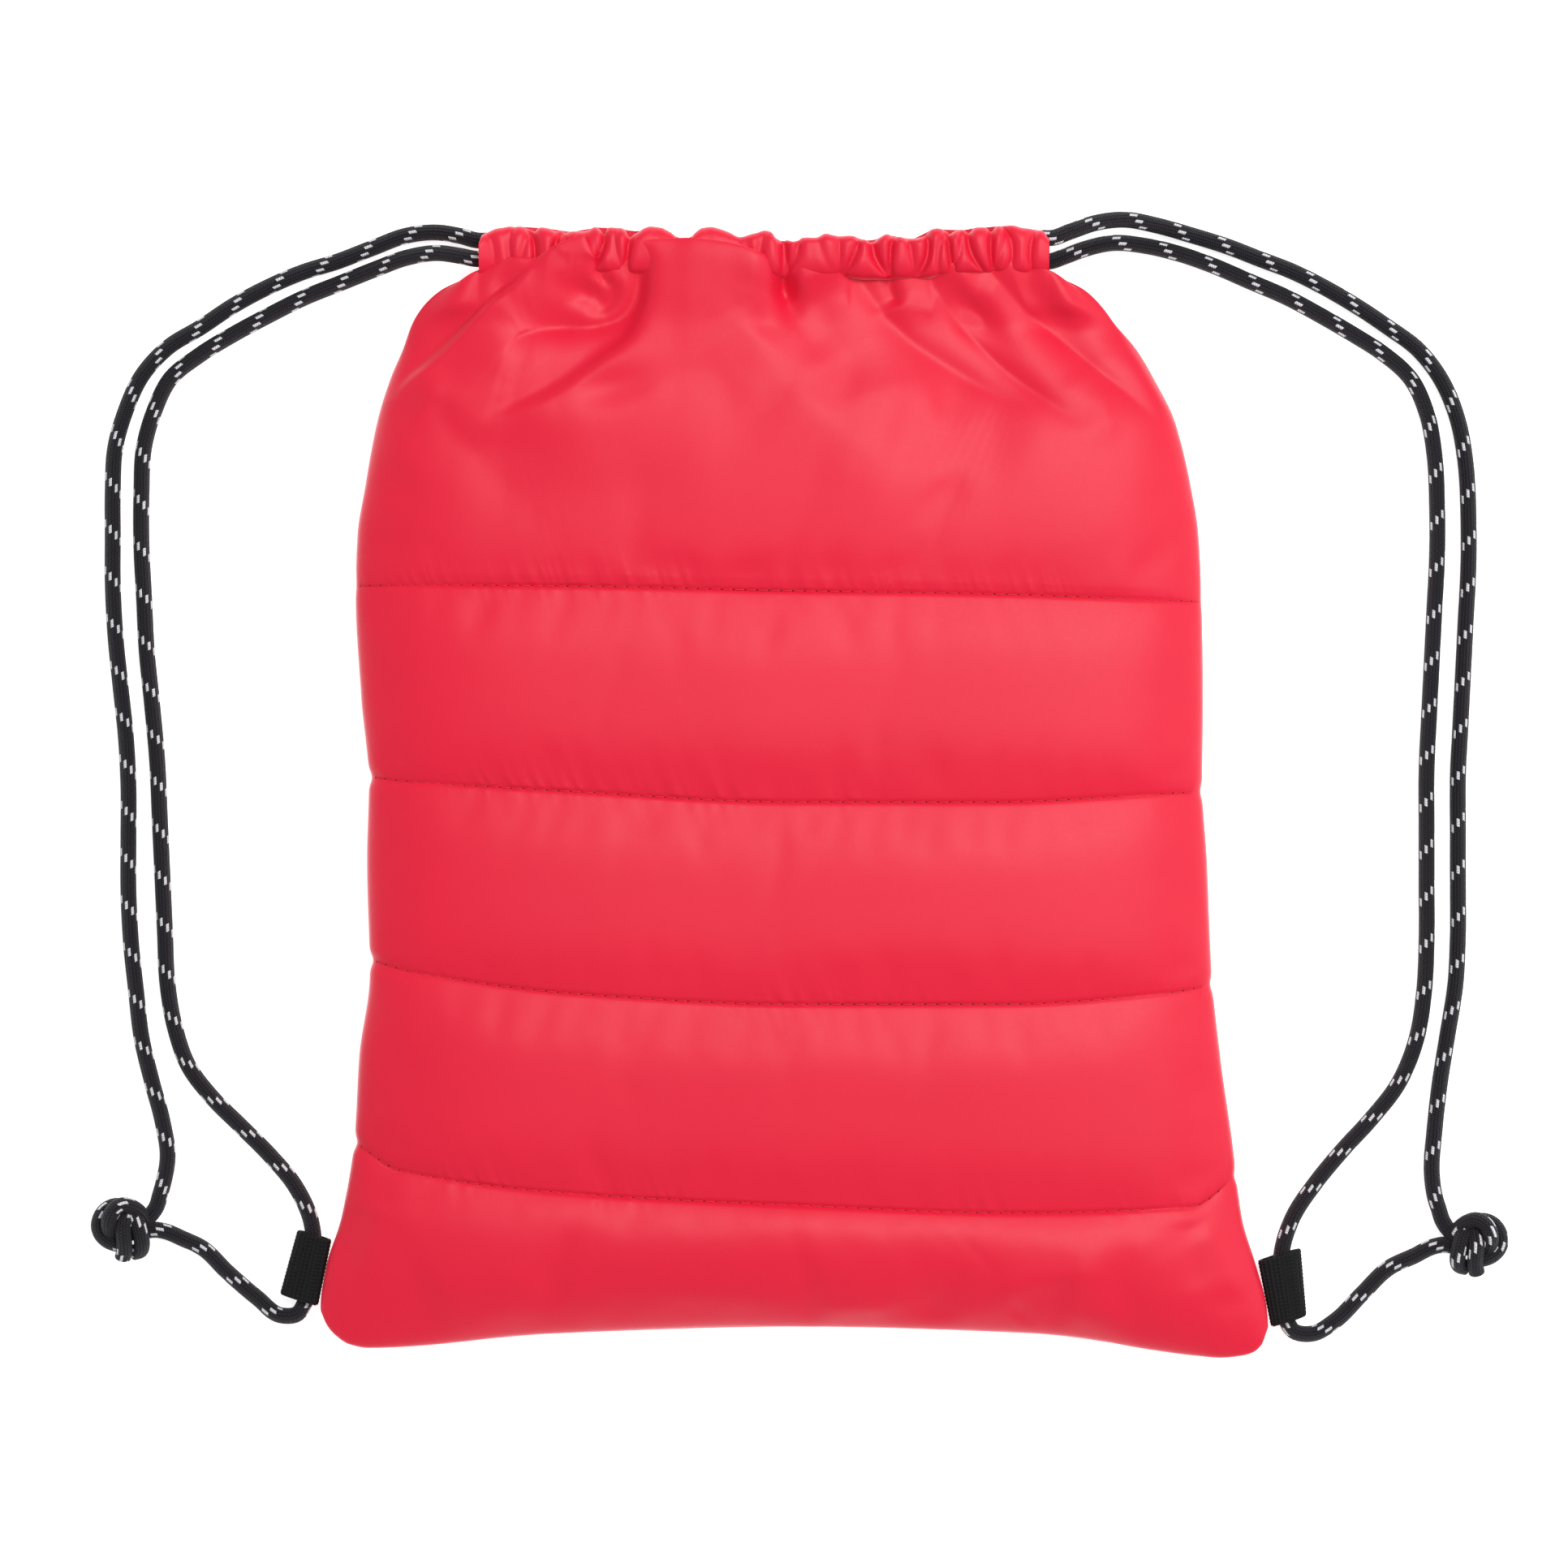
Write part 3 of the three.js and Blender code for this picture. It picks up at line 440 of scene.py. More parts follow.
# Where the strands run, from the casing's end to the knot, as in the solid model. They lie on
# the floor where no height is given.
LEFT_OUTER = [
    (-117, 210.8, 6), (-121, 210.8, 6), (-128, 212.6, 5.5), (-137, 214, 4.6), (-148, 213, 3.6),
    (-162, 208), (-175, 203), (-188, 199), (-202, 193), (-215, 186), (-227, 178), (-240, 170),
    (-250, 159), (-256, 146), (-260, 132), (-261, 115), (-261, 98), (-261, 80), (-260, 60), (-258, 40),
    (-256, 21), (-255, 2), (-255, -18), (-255, -38), (-254, -58), (-252, -77), (-250, -94),
    (-246, -111), (-242, -126), (-240, -140), (-241.8, -150.5), (-243, -154.7), (-244, -158.3),
]
LEFT_INNER = [
    (-117, 202.8, 18), (-121, 202.8, 17.4), (-127, 204, 16.1), (-136, 205.4, 13.2), (-148, 204, 9.2),
    (-160, 200, 5.6), (-173, 195, 3.6), (-188, 189), (-202, 182), (-215, 175), (-228, 167),
    (-239, 158), (-245, 146), (-249, 132), (-250, 114), (-250, 94), (-249, 74), (-248, 54), (-246, 34),
    (-244, 12), (-243, -10), (-242, -32), (-241, -54), (-240, -74), (-237, -91), (-232, -105),
    (-223, -117), (-212, -128), (-201, -139, 3.4), (-191, -151, 4.4), (-185, -164, 5.2),
    (-183.8, -174, 5.2), (-185, -186, 5.2), (-187, -194.5, 4.6), (-190.5, -200, 3.6), (-196.5, -200.5),
    (-206, -193.5), (-217, -184), (-227, -174.5), (-234, -171.2), (-241, -168.3),
]
RIGHT_OUTER = [
    (93.7, 210.8, 18), (97.7, 210.8, 17.4), (105, 213.4, 15.8), (115, 217, 12.6), (126, 218.5, 9),
    (139, 216.5, 5.4), (152, 213, 3.5), (165, 209), (178, 204), (191, 199), (203, 193), (215, 186),
    (227, 178), (239, 169), (248, 157), (254, 142), (257, 125), (258, 106), (258, 86), (257, 66),
    (256, 46), (255, 26), (254, 6), (254, -14), (254, -34), (254, -54), (253, -74), (250, -93),
    (247, -112), (245, -130), (244, -146), (245.3, -155.5), (246.7, -160), (248, -164),
]
RIGHT_INNER = [
    (93.7, 202.8, 6), (97.7, 202.8, 6), (103, 204.6, 5.7), (111, 207.6, 5), (122, 210, 4),
    (134, 209, 3.3), (147, 206), (160, 201.5), (174, 195.5), (189, 189), (202, 182), (214, 175),
    (225, 168), (236, 158), (242, 145), (245, 129), (246, 110), (246, 90), (245, 70), (244, 50),
    (243, 30), (242, 8), (242, -14), (242, -36), (242, -57), (241, -77), (238, -95), (231, -112),
    (221, -125), (210, -137), (200, -149, 3.6), (190.6, -163, 4.8), (186.4, -176, 5.2),
    (186.4, -190, 5.2), (187.4, -200, 5), (191.3, -206.6, 3.8), (198, -207.5), (207, -202.5),
    (217, -192.5), (228, -182), (237, -177.8), (245, -174),
]


def braided(name, node, points, side, start, spacing=1.2):
    """A braided tube along the points. start is where its braid's pattern begins."""
    path, along = spline(points, spacing)
    points, faces, uv = tube(path, along + start, CORD_DIAMETER / 2)
    return bag_piece(name, node, points, faces, [braids[side]], uv), path, along[-1]


# ---- knots
KNOT_MIDDLE = {"left": (-257.6, -167.7), "right": (261.6, -173.4)}
# How the two strands run on into the right knot, from its middle; the left one is a mirror image
KNOT_ENTRY = {
    "outer": [(-11.6, 6.2, 3.6), (-8.6, 3.4, 4.4), (-4.4, 0.6, 5.4), (0, -1, 5)],
    "inner": [(-13.2, 0, 3.3), (-9.6, -0.4, 3.6), (-5, -1, 4.4), (0, -1, 4.6)],
}
KNOT_RUNS = {
    "over_turn": [
        (-8.6, 3.2, 4.4), (-7.4, 6.4, 6.6), (-4.4, 9, 8.8), (-1.2, 9.9, 10.4), (1.7, 8.5, 11.4),
        (3.7, 5.4, 11.6), (4.2, 2, 9.8), (3.4, -1, 6.6), (2, -3, 4.6),
    ],
    "outer_turn": [
        (-1.5, 8.6, 4), (2, 9.3, 5), (5.6, 7.9, 5.5), (7.8, 4.9, 5.7), (8.5, 1.6, 5.8),
        (7.7, -1.2, 5.8), (5.4, -3.7, 6), (2.2, -5.1, 6), (-2, -5.4, 5.4),
    ],
    "rounded_turn": [
        (-3.4, 7.4, 4.6), (-5.4, 5.5, 7.2), (-7, 1.9, 9), (-7.9, -1.8, 9), (-8.2, -5, 7.6),
        (-7.2, -7.8, 5), (-4.6, -8.6, 3.6),
    ],
    "tail": [
        (-1.8, 6.4, 6), (-1.6, 3.9, 8.8), (-1.3, 0.3, 10.6), (-1.6, -3.8, 10.2), (-1.6, -7, 8.8),
        (-0.8, -10.4, 7),
    ],
}


def by_knot(side, run):
    """Points about the middle of a knot, turned over for the left one."""
    mx, my = KNOT_MIDDLE[side]
    return [(mx + (-x if side == "left" else x), my + y, z) for x, y, z in run]


for side in KNOT_MIDDLE:
    turns = []
    for k, run in enumerate(KNOT_RUNS.values()):
        path, along = spline(by_knot(side, run), 0.8)
        turns.append(tube(path, along + 5 * k, CORD_DIAMETER / 2 * 0.99))
    points, faces, uv = joined(turns)
    bag_piece(
        f"stopper_knot_{side}", f"knot_{side}", points, faces, [braids[side]], uv,
    )

for side, which, points, start in (
    ("left", "outer", LEFT_OUTER, 4.0),
    ("left", "inner", LEFT_INNER, 11.0),
    ("right", "outer", RIGHT_OUTER, 2.0),
    ("right", "inner", RIGHT_INNER, 9.0),
):
    points = [p if len(p) == 3 else (*p, LYING) for p in points] + by_knot(side, KNOT_ENTRY[which])
    obj, path, length = braided(
        f"strand_{side}_{which}", f"cord_{side}_{which}", points, side, start,
    )


# ---- the bag's form
BAG_WIDTH = 361.0
BAG_HEIGHT = 431.0
SEAM_HEIGHT = 9.0
CROWN_HEIGHT = 27.0
STITCHED = 2.0
FRONT_PUFF = 3.9
LINING_PUFF = 3.0
BACK_THICKNESS = 5.0
BACK_PUFF = 3.0
BACK_LIFT = 2.0
GAP = 0.3
CASING_HEIGHT = 17.4
CASING_THICKNESS = 11.0
CASING_WALL = 1.2
CASING_MIDDLE = 24.0
CASING_END = 17.5
BACK_CASING = 6.0
END_CUT = 12.0
LANE = 4.0
END_INSET = 3.0

# Half widths left and right as shares of the width, at heights that are shares of the height
OUTLINE = [
    (0.458, -0.332, 0.268), (0.443, -0.373, 0.306), (0.428, -0.393, 0.325), (0.414, -0.404, 0.338),
    (0.392, -0.414, 0.361), (0.364, -0.428, 0.381), (0.328, -0.441, 0.402), (0.27, -0.454, 0.419),
    (0.227, -0.462, 0.427), (0.177, -0.464, 0.43), (0.083, -0.458, 0.432), (0.008, -0.45, 0.431),
    (-0.061, -0.452, 0.436), (-0.161, -0.449, 0.441), (-0.233, -0.46, 0.45), (-0.305, -0.465, 0.462),
    (-0.377, -0.479, 0.473), (-0.42, -0.495, 0.488), (-0.456, -0.501, 0.499), (-0.478, -0.495, 0.501),
]
STATIONS = [0, 0.05, 0.25, 0.5, 0.75, 0.95, 1]
SEAM_SHARE = 0.5 - (CASING_HEIGHT + GAP) / BAG_HEIGHT
# The casing seam and the four stitch lines: heights at the stations, and how far the crown there
# rises to its full height. The last row is the bottom seam, whose heights stand below.
LINES = [
    ([SEAM_SHARE] * 7, None),
    ([0.182, 0.182, 0.181, 0.177, 0.174, 0.169, 0.168], 1),
    ([0.013, 0.009, 0, -0.009, -0.009, -0.002, 0], 1),
    ([-0.149, -0.159, -0.178, -0.187, -0.187, -0.177, -0.171], 1),
    ([-0.311, -0.334, -0.354, -0.364, -0.371, -0.366, -0.341], 0.88),
    (None, 0.8),
]
# The bottom seam with its two rounded corners: shares across and heights
BOTTOM_SEAM = [
    (0, -0.46), (0.006, -0.472), (0.015, -0.481), (0.03, -0.4893), (0.05, -0.4925), (0.25, -0.48),
    (0.5, -0.474), (0.75, -0.48), (0.925, -0.4995), (0.95, -0.5012), (0.972, -0.4995),
    (0.984, -0.4965), (0.993, -0.49), (1, -0.474),
]
LAST = len(LINES) - 1
heights, lefts, rights = np.array(OUTLINE[::-1]).T
edge_share = {"left": curve_through(heights, lefts), "right": curve_through(heights, rights)}
line_at = [curve_through(STATIONS, up) for up, _ in LINES[:LAST]] + [curve_through(*zip(*BOTTOM_SEAM))]
crowns = [CASING_MIDDLE] + [lerp(SEAM_HEIGHT, CROWN_HEIGHT, crown) for _, crown in LINES[1:]]


def edge_at(side, y):
    return BAG_WIDTH * edge_share[side](np.asarray(y) / BAG_HEIGHT)


# How far each stitch line draws the left edge in, in millimetres; the right one is drawn less
EDGE_PINCH = {1: 0.3, 2: 1.2, 3: 1.3, 4: 1.2}


def place_of(u, line, t):
    """x and y on the bag's face: u is 0 at the left seam, t is 0 at the line above."""
    def height(share):
        return BAG_HEIGHT * lerp(line_at[line - 1](share), line_at[line](share), t)

    left = edge_at("left", height(np.zeros_like(t)))
    right = edge_at("right", height(np.ones_like(t)))
    pinch = 0
    for k, near in ((line - 1, t), (line, 1 - t)):
        pinch = pinch + EDGE_PINCH.get(k, 0) * np.exp(-((near * 75 / 3.2) ** 2))
    return lerp(left + pinch, right - 0.6 * pinch, u), height(u)


def puff_at(t):
    return np.sin(np.pi * clamp(t)) ** 0.75


def fullness(u, line, t):
    off = np.abs(2 * u - 1)
    body = np.sqrt(clamp(1 - off**4.6))
    neck = 1 - off**2.5
    share = 1 - smoothstep(t / 0.4) if line == 1 else 0.0
    bottom = np.sqrt(clamp(1 - t**2.5)) if line == LAST else 1.0
    return lerp(body, neck, share) * bottom


def crown_of(line, t):
    return lerp(crowns[line - 1], crowns[line], smoothstep(t))


def edge_opening(line, t):
    return 1 - smoothstep(t / 0.25) if line == 1 else np.zeros_like(t)


def front_edge(line, t):
    return lerp(SEAM_HEIGHT + GAP / 2, CASING_END - STITCHED / 2, edge_opening(line, t))


def back_edge(line, t):
    return lerp(SEAM_HEIGHT - GAP / 2, BACK_CASING + STITCHED / 2, edge_opening(line, t))


casing_y = BAG_HEIGHT / 2 - CASING_HEIGHT / 2
seam_y = BAG_HEIGHT * SEAM_SHARE
casing_left = float(edge_at("left", seam_y))
casing_right = float(edge_at("right", seam_y))


def casing_centre(x):
    across = clamp((x - casing_left) / (casing_right - casing_left))
    return lerp(CASING_END, CASING_MIDDLE, 1 - np.abs(2 * across - 1) ** 2.5)


# Folds of the front: how high the crest stands in millimetres (negative for a crease), how far
# it reaches to the left and to the right of its direction, the crest's own radius, and its path
# in pixels of the photograph
FOLDS = [
    # pleat and pocket under the left end of the casing
    (-3.4, 2.5, 3.5, 0.8, [(743, 322), (739, 340), (733, 352)]),
    (1.6, 2.5, 3, 1.0, [(752, 322), (757, 340), (752, 356)]),
    (-2.2, 3.5, 3.5, 1.4, [(736, 342), (752, 352), (757, 370), (744, 384), (718, 388)]),
    (1.3, 4, 4, 1.6, [(756, 330), (772, 350), (772, 374), (754, 391), (716, 400), (680, 408)]),
    (0.8, 5, 6, 2.2, [(698, 326), (700, 352), (712, 372)]),
    (-5.8, 5, 10, 1.4, [(780, 290), (788, 340), (785, 372), (768, 394), (740, 404), (700, 406),
        (655, 412), (618, 432)]),
    (1.4, 12, 10, 5, [(640, 372), (612, 404), (616, 438), (650, 450)]),
    # below the ridge from the bulge down to the left
    (2.2, 10, 10, 3, [(556, 455), (520, 512), (487, 570), (470, 610)]),
    (-2.0, 14, 12, 6, [(590, 400), (560, 450), (548, 500), (566, 545), (640, 556), (730, 530)]),
    (-1.2, 16, 16, 8, [(560, 600), (720, 612), (880, 590)]),
    # the middle
    (-3.4, 2.8, 3.2, 0.8, [(963, 300), (964, 322), (965, 345), (968, 380)]),
    (-1.8, 9, 9, 3.0, [(966, 346), (984, 396), (1022, 456)]),
    (-1.2, 8, 7, 3.0, [(962, 350), (950, 384), (926, 420)]),
    (-2.2, 14, 12, 5, [(985, 346), (1010, 392), (1040, 440), (1062, 500)]),
    (1.1, 16, 14, 4.5, [(905, 372), (950, 446), (1000, 502), (1078, 568), (1150, 606)]),
    (-0.8, 18, 14, 7, [(850, 440), (900, 500), (960, 560)]),
    # the right side's long folds, each lying over the one above it
    (-6.4, 11, 22, 1.5, [(1026, 284), (1040, 318), (1056, 345), (1084, 386), (1117, 421), (1168, 456),
        (1222, 487), (1290, 512)]),
    (-3.4, 2.5, 5, 0.8, [(1094, 336), (1096, 356), (1108, 384)]),
    (-5.4, 9, 16, 0.8, [(1138, 280), (1144, 322), (1149, 354), (1172, 391), (1206, 429), (1250, 469),
        (1300, 505), (1350, 540)]),
    (-6.2, 10, 16, 0.9, [(1172, 276), (1200, 314), (1222, 341), (1261, 384), (1300, 416), (1347, 455),
        (1390, 491), (1460, 556)]),
    (0.9, 7, 10, 2.6, [(1326, 448), (1350, 486), (1362, 524), (1366, 560)]),
    (0.7, 15, 14, 6, [(1000, 570), (1120, 600), (1230, 576)]),
    (-1.2, 14, 12, 6, [(1080, 524), (1180, 549), (1290, 560)]),
    # the bottom baffle's soft folds
    (1.6, 10, 8, 3, [(1000, 1632), (1060, 1618), (1110, 1608), (1150, 1622)]),
    (-1.2, 8, 8, 3, [(1080, 1632), (1120, 1612), (1200, 1618)]),
    (2.2, 12, 8, 2.5, [(1225, 1612), (1250, 1585), (1290, 1570), (1340, 1566), (1390, 1576)]),
    (-1.6, 8, 10, 3, [(1240, 1625), (1280, 1600), (1330, 1600)]),
    (1.6, 6, 9, 2.5, [(1478, 1500), (1500, 1540), (1516, 1580), (1520, 1610)]),
    (-1.2, 7, 7, 2.5, [(1462, 1490), (1466, 1540), (1480, 1600)]),
    (-1.5, 6, 6, 1.8, [(447, 1478), (430, 1530), (418, 1575)]),
    (1.4, 8, 7, 2.5, [(470, 1470), (462, 1520), (440, 1590)]),
    (1.3, 16, 14, 5, [(520, 1600), (600, 1570), (690, 1590)]),
]
# A cliff drops from its left side to its right side: the left overlap, where the main layer
# lies over the strip along the edge, the ridge from the bulge down to the left, and the right edge
CLIFFS = [
    (3.2, 16, 9, 1.1, [(668, 322), (640, 348), (598, 382), (550, 430), (505, 470), (476, 503)]),
    (2.3, 20, 13, 2.6, [(806, 290), (799, 340), (792, 378), (777, 415), (740, 446), (680, 487),
        (633, 509), (572, 536)]),
    (-1.8, 7, 7, 1.2, [(1374, 398), (1405, 446), (1432, 490), (1456, 545)]),
]
# Hollows: the middle in pixels, the depth, the two radii and the angle of the first one
DENTS = [
    (724, 364, -4.6, 9, 5, -0.35), (748, 482, -2.0, 16, 7, 0.2), (968, 364, -5.4, 9, 5, -1.3),
    (1194, 384, -4.2, 14, 5.5, -0.8), (1288, 380, -2.8, 17, 6, -0.75),
]


def nearest_on(path, x, y):
    """Distance to the path, positive to its left, and the share of its length passed."""
    best = np.full(x.shape, np.inf)
    signed, along = np.zeros(x.shape), np.zeros(x.shape)
    lengths = np.linalg.norm(np.diff(path, axis=0), axis=1)
    passed = np.concatenate([[0], np.cumsum(lengths)])
    for k, (a, b) in enumerate(zip(path[:-1], path[1:])):
        d = b - a
        t = clamp(((x - a[0]) * d[0] + (y - a[1]) * d[1]) / (d @ d))
        ox, oy = x - (a[0] + t * d[0]), y - (a[1] + t * d[1])
        distance = np.hypot(ox, oy)
        nearer = distance < best
        side = np.sign(d[0] * oy - d[1] * ox)
        best = np.where(nearer, distance, best)
        signed = np.where(nearer, side * distance, signed)
        along = np.where(nearer, (passed[k] + t * lengths[k]) / passed[-1], along)
    return signed, along


def smooth_path(points):
    path = np.column_stack([photo_path(*points), np.zeros(len(points))])
    return spline(path, 3)[0][:, :2]


fold_rows = [
    (is_cliff, *sizes, smooth_path(points))
    for is_cliff, rows in ((False, FOLDS), (True, CLIFFS)) for *sizes, points in rows
]


def fold_height(x, y):
    """How far the named folds raise the front's surface, in millimetres."""
    height = np.zeros(x.shape)
    for px, py, rise, radius, other_radius, angle in DENTS:
        middle_x, middle_y = photo(px, py)
        dx, dy = x - middle_x, y - middle_y
        along = (dx * math.cos(angle) + dy * math.sin(angle)) / radius
        across = (dx * math.sin(angle) - dy * math.cos(angle)) / other_radius
        height += rise * np.exp(-(along**2) - across**2)
    for is_cliff, rise, left, right, crest, path in fold_rows:
        d, along = nearest_on(path, x, y)
        reach = np.where(d > 0, left, right)
        tail = np.exp(-(np.sqrt(d * d + crest * crest) - crest) / reach)
        if is_cliff:
            tail = tail * np.tanh(d / crest)
        height += rise * tail * smoothstep(along / 0.22) * smoothstep((1 - along) / 0.35)
    return height


# How far the front's gathered edge reaches up over the casing, at pixels across the photograph
OVERLAP = [
    (592, 1.0), (610, 2.5), (640, 5.3), (660, 4.7), (684, 9.0), (710, 12.4), (720, 13.5), (727, 10.0),
    (736, 5.0), (746, 2.8), (765, 3.4), (779, 5.0), (787, 9.5), (798, 11.2), (852, 12.0), (868, 11.5),
    (905, 9.9), (942, 5.6), (958, 2.2), (965, 0.2), (972, 0.6), (989, 3.4), (1028, 4.1), (1043, 2.3),
    (1052, -2.2), (1060, -3.2), (1084, -3.4), (1094, -4.2), (1102, -1.6), (1117, -0.4), (1138, -1.8),
    (1145, -3.0), (1152, 1.6), (1184, 3.4), (1207, 1.9), (1218, 2.6), (1242, 4.4), (1269, 0.6),
    (1287, 1.0),
]
overlap_at = curve_through([photo_x(px) for px, _ in OVERLAP], [mm for _, mm in OVERLAP])

# The length across the bag that the waves are read along
RUN = 350
gather_near = waves(260, 7, 11)
gather_far = waves(260, 17, 12)
pucker_above = [waves(460, 2.9, 20 + k) for k in range(6)]
pucker_below = [waves(420, 3.4, 40 + k) for k in range(6)]
pucker_swell = [waves(420, 26, 60 + k) for k in range(6)]
lay = [waves(420, 60, 80 + k) for k in range(6)]

# How long the top baffle is, and the share of it that the rolled edge shapes
TOP_REACH = 121.0
ROLL = 0.2
top_puff = curve_through(
    [0, 0.06, 0.2, 0.45, 0.7, 0.88, 0.96, 1], [1.35, 1.55, 1.75, 1.6, 1.25, 0.8, 0.45, 0],
)


def roll_over(u, x, t, y, z):
    """The gathered edge of the front: it rises from the casing seam and rolls over the casing."""
    q = clamp(t / ROLL)
    over = overlap_at(x)
    seam = seam_y + np.minimum(over, 0)
    over = np.maximum(over, 0)
    low = casing_centre(x) + CASING_THICKNESS / 2
    high = smoothstep(over / 8)
    tight = smoothstep(over / 6)
    nodes = np.array([0, 0.12, 0.28, 0.5, 0.75, 1.0])
    fall = nodes * ROLL * TOP_REACH
    ys = [
        seam + 0.9, seam + np.maximum(0.65 * over, 1.0), seam + over - 1.2 * (1 - tight),
        seam_y + lerp(0.5 * (seam - seam_y) - fall[3], 0.62 * over - 2, tight),
        seam_y + 0.2 * (seam - seam_y) - fall[4] + 0.25 * over, seam_y - fall[5] + 0 * over,
    ]
    zs = [
        low - 2.2, low + lerp(0.3, 1.0, high), low + lerp(1.2, 2.6, high), low + lerp(2.0, 3.8, high),
        lerp(low + 3.2, z, 0.6), z,
    ]
    width = np.diff(nodes)
    i = np.clip(np.searchsorted(nodes, q, side="right") - 1, 0, 4)
    f = clamp((q - nodes[i]) / width[i])

    def through(values):
        values = np.stack([np.broadcast_to(v, x.shape) for v in values])
        slopes = np.diff(values, axis=0) / width[:, None, None]
        tangent = np.concatenate([slopes[:1], (slopes[:-1] + slopes[1:]) / 2, slopes[-1:]])
        ends = (
            np.take_along_axis(rows, k[None], 0)[0]
            for rows, k in ((values, i), (values, i + 1), (tangent, i), (tangent, i + 1))
        )
        return hermite(*ends, f, width[i])

    share = smoothstep(np.minimum(u, 1 - u) / 0.06)
    near = share * (1 - smoothstep((q - 0.5) / 0.5))
    rolled_y = through(ys) + q * (y - (seam_y - t * TOP_REACH))
    return lerp(y, rolled_y, near), lerp(z, through(zs), near)


# The stitched groove, the puckers on both sides of it, and the least padding over the lining
GROOVE_DEPTH, GROOVE_WIDTH = 0.5, 0.9
PUCKER_ABOVE, PUCKER_BELOW = 0.9, 0.45
LEAST_PADDING = 0.8


def lining_puff(line, t):
    """How far the front's lining lies below its seams: more under the top baffle's deep folds."""
    return (2.2 if line == 1 else 1) * LINING_PUFF * puff_at(t)


def ridged(noise):
    """Noise turned into narrow wrinkles with wide valleys."""
    return 1.1 * (1 - np.abs(noise)) ** 2 - 0.35


def baffle_height(u, line):
    return np.abs(BAG_HEIGHT * (line_at[line - 1](u) - line_at[line](u)))


def front_surface(u, line, t, detail=True):
    """Points of the front's outside. Without detail it has no puckers and no stitched grooves."""
    x, y = place_of(u, line, t)
    full = fullness(u, line, t)
    drop = baffle_height(u, line)
    above, below = t * drop, (1 - t) * drop
    run = u * RUN
    tone = 0.9 + 0.16 * lay[line](run + 0.4 * above)
    puff = top_puff(t) if line == 1 else 1 - np.abs(2 * t - 1) ** 3.6
    top = crown_of(line, t) + STITCHED / 2 + FRONT_PUFF * puff * tone
    z = lerp(front_edge(line, t) + STITCHED, top, full)
    if line == 1:
        y, z = roll_over(u, x, t, y, z)
        strength = smoothstep(np.minimum(u, 1 - u) / 0.08)
        fan = u * 230
        z = z + strength * (
            0.9 * gather_near(fan) * np.exp(-above / 14) * smoothstep(above / 4)
            + 0.5 * gather_far(fan) * np.exp(-above / 40) * smoothstep(above / 10)
        )
    soft_start = smoothstep(above / 2.5) if line == 1 else smoothstep(above / 9)
    z = z + fold_height(x, y) * soft_start * smoothstep(below / 9) * np.sqrt(full)
    if detail:
        swell = clamp(0.55 + 0.9 * pucker_swell[line](run))
        wrinkle = ridged(pucker_above[line](run + 0.35 * below))
        reach = np.exp(-below / (2.2 + 2 * swell)) * smoothstep(below / 1.4)
        z = z + full * PUCKER_ABOVE * swell * wrinkle * reach
        if line > 1:
            swell = clamp(0.35 + 0.9 * pucker_swell[line - 1](run + 11))
            wrinkle = ridged(pucker_below[line](run - 0.3 * above))
            reach = np.exp(-above / 3) * smoothstep(above / 1.4)
            z = z + full * PUCKER_BELOW * swell * wrinkle * reach
        stitched = [near for near, has in ((below, line < LAST), (above, line > 1)) if has]
        groove = sum(np.exp(-((near / GROOVE_WIDTH) ** 2)) for near in stitched)
        z = z - GROOVE_DEPTH * groove * full
    floor_z = crown_of(line, t) - STITCHED / 2 - lining_puff(line, t)
    z = np.maximum(z, lerp(front_edge(line, t), floor_z, full) + LEAST_PADDING)
    return np.stack([x, y, z], -1)


def eased(count, amount):
    """Shares from 0 to 1 that stand closer together at both ends."""
    s = np.linspace(0, 1, count)
    return s - amount * np.sin(2 * np.pi * s) / (2 * np.pi)


HEM_DEPTH, HEM_REACH = 1.8, 3.0


def hemmed(grid, bottom=False):
    """The grid of points with its rim turned down and in under itself."""
    def turn(rim, towards):
        down = rim + [0, 0, -HEM_DEPTH]
        return down, down + np.array(towards) * HEM_REACH + [0, 0, -0.1]

    left_down, left_under = turn(grid[:, :1], [1.0, 0, 0])
    grid = np.concatenate([left_under, left_down, grid, *turn(grid[:, -1:], [-1.0, 0, 0])], 1)
    if bottom:
        grid = np.concatenate([grid, *turn(grid[-1:], [0, 1.0, 0])], 0)
    return grid


def sheet_piece(name, grid, flip=False):
    """A piece of the front panel made of one sheet."""
    faces = grid_faces(*grid.shape[:2])
    if flip:
        faces = faces[:, ::-1]
    return bag_piece(name, "front_panel", grid.reshape(-1, 3), faces, [red])


fine = 1.0

# The front as cloth: held at the casing seam, the stitch lines and the side seams, a little too
# large for its place and blown up from below, so that it draws into folds of its own
CLOTH_COLUMNS = 150
CLOTH_ROWS = {1: 52, 2: 32, 3: 31, 4: 31, 5: 23}
CLOTH_FRAMES = 12
CLOTH_GROWTH = 0.005
CLOTH_CAP = 1.0


def cubic_weights(old, new):
    """A matrix that takes values at even steps to other shares, along a smooth curve."""
    p = np.asarray(new) * (old - 1)
    i = np.clip(np.floor(p).astype(int), 0, old - 2)
    f = p - i
    out = np.zeros((len(p), old))
    rows = np.arange(len(p))
    for k, w in (
        (-1, -0.5 * f + f**2 - 0.5 * f**3), (0, 1 - 2.5 * f**2 + 1.5 * f**3),
        (1, 0.5 * f + 2 * f**2 - 1.5 * f**3), (2, -0.5 * f**2 + 0.5 * f**3),
    ):
        np.add.at(out, (rows, np.clip(i + k, 0, old - 1)), w)
    return out


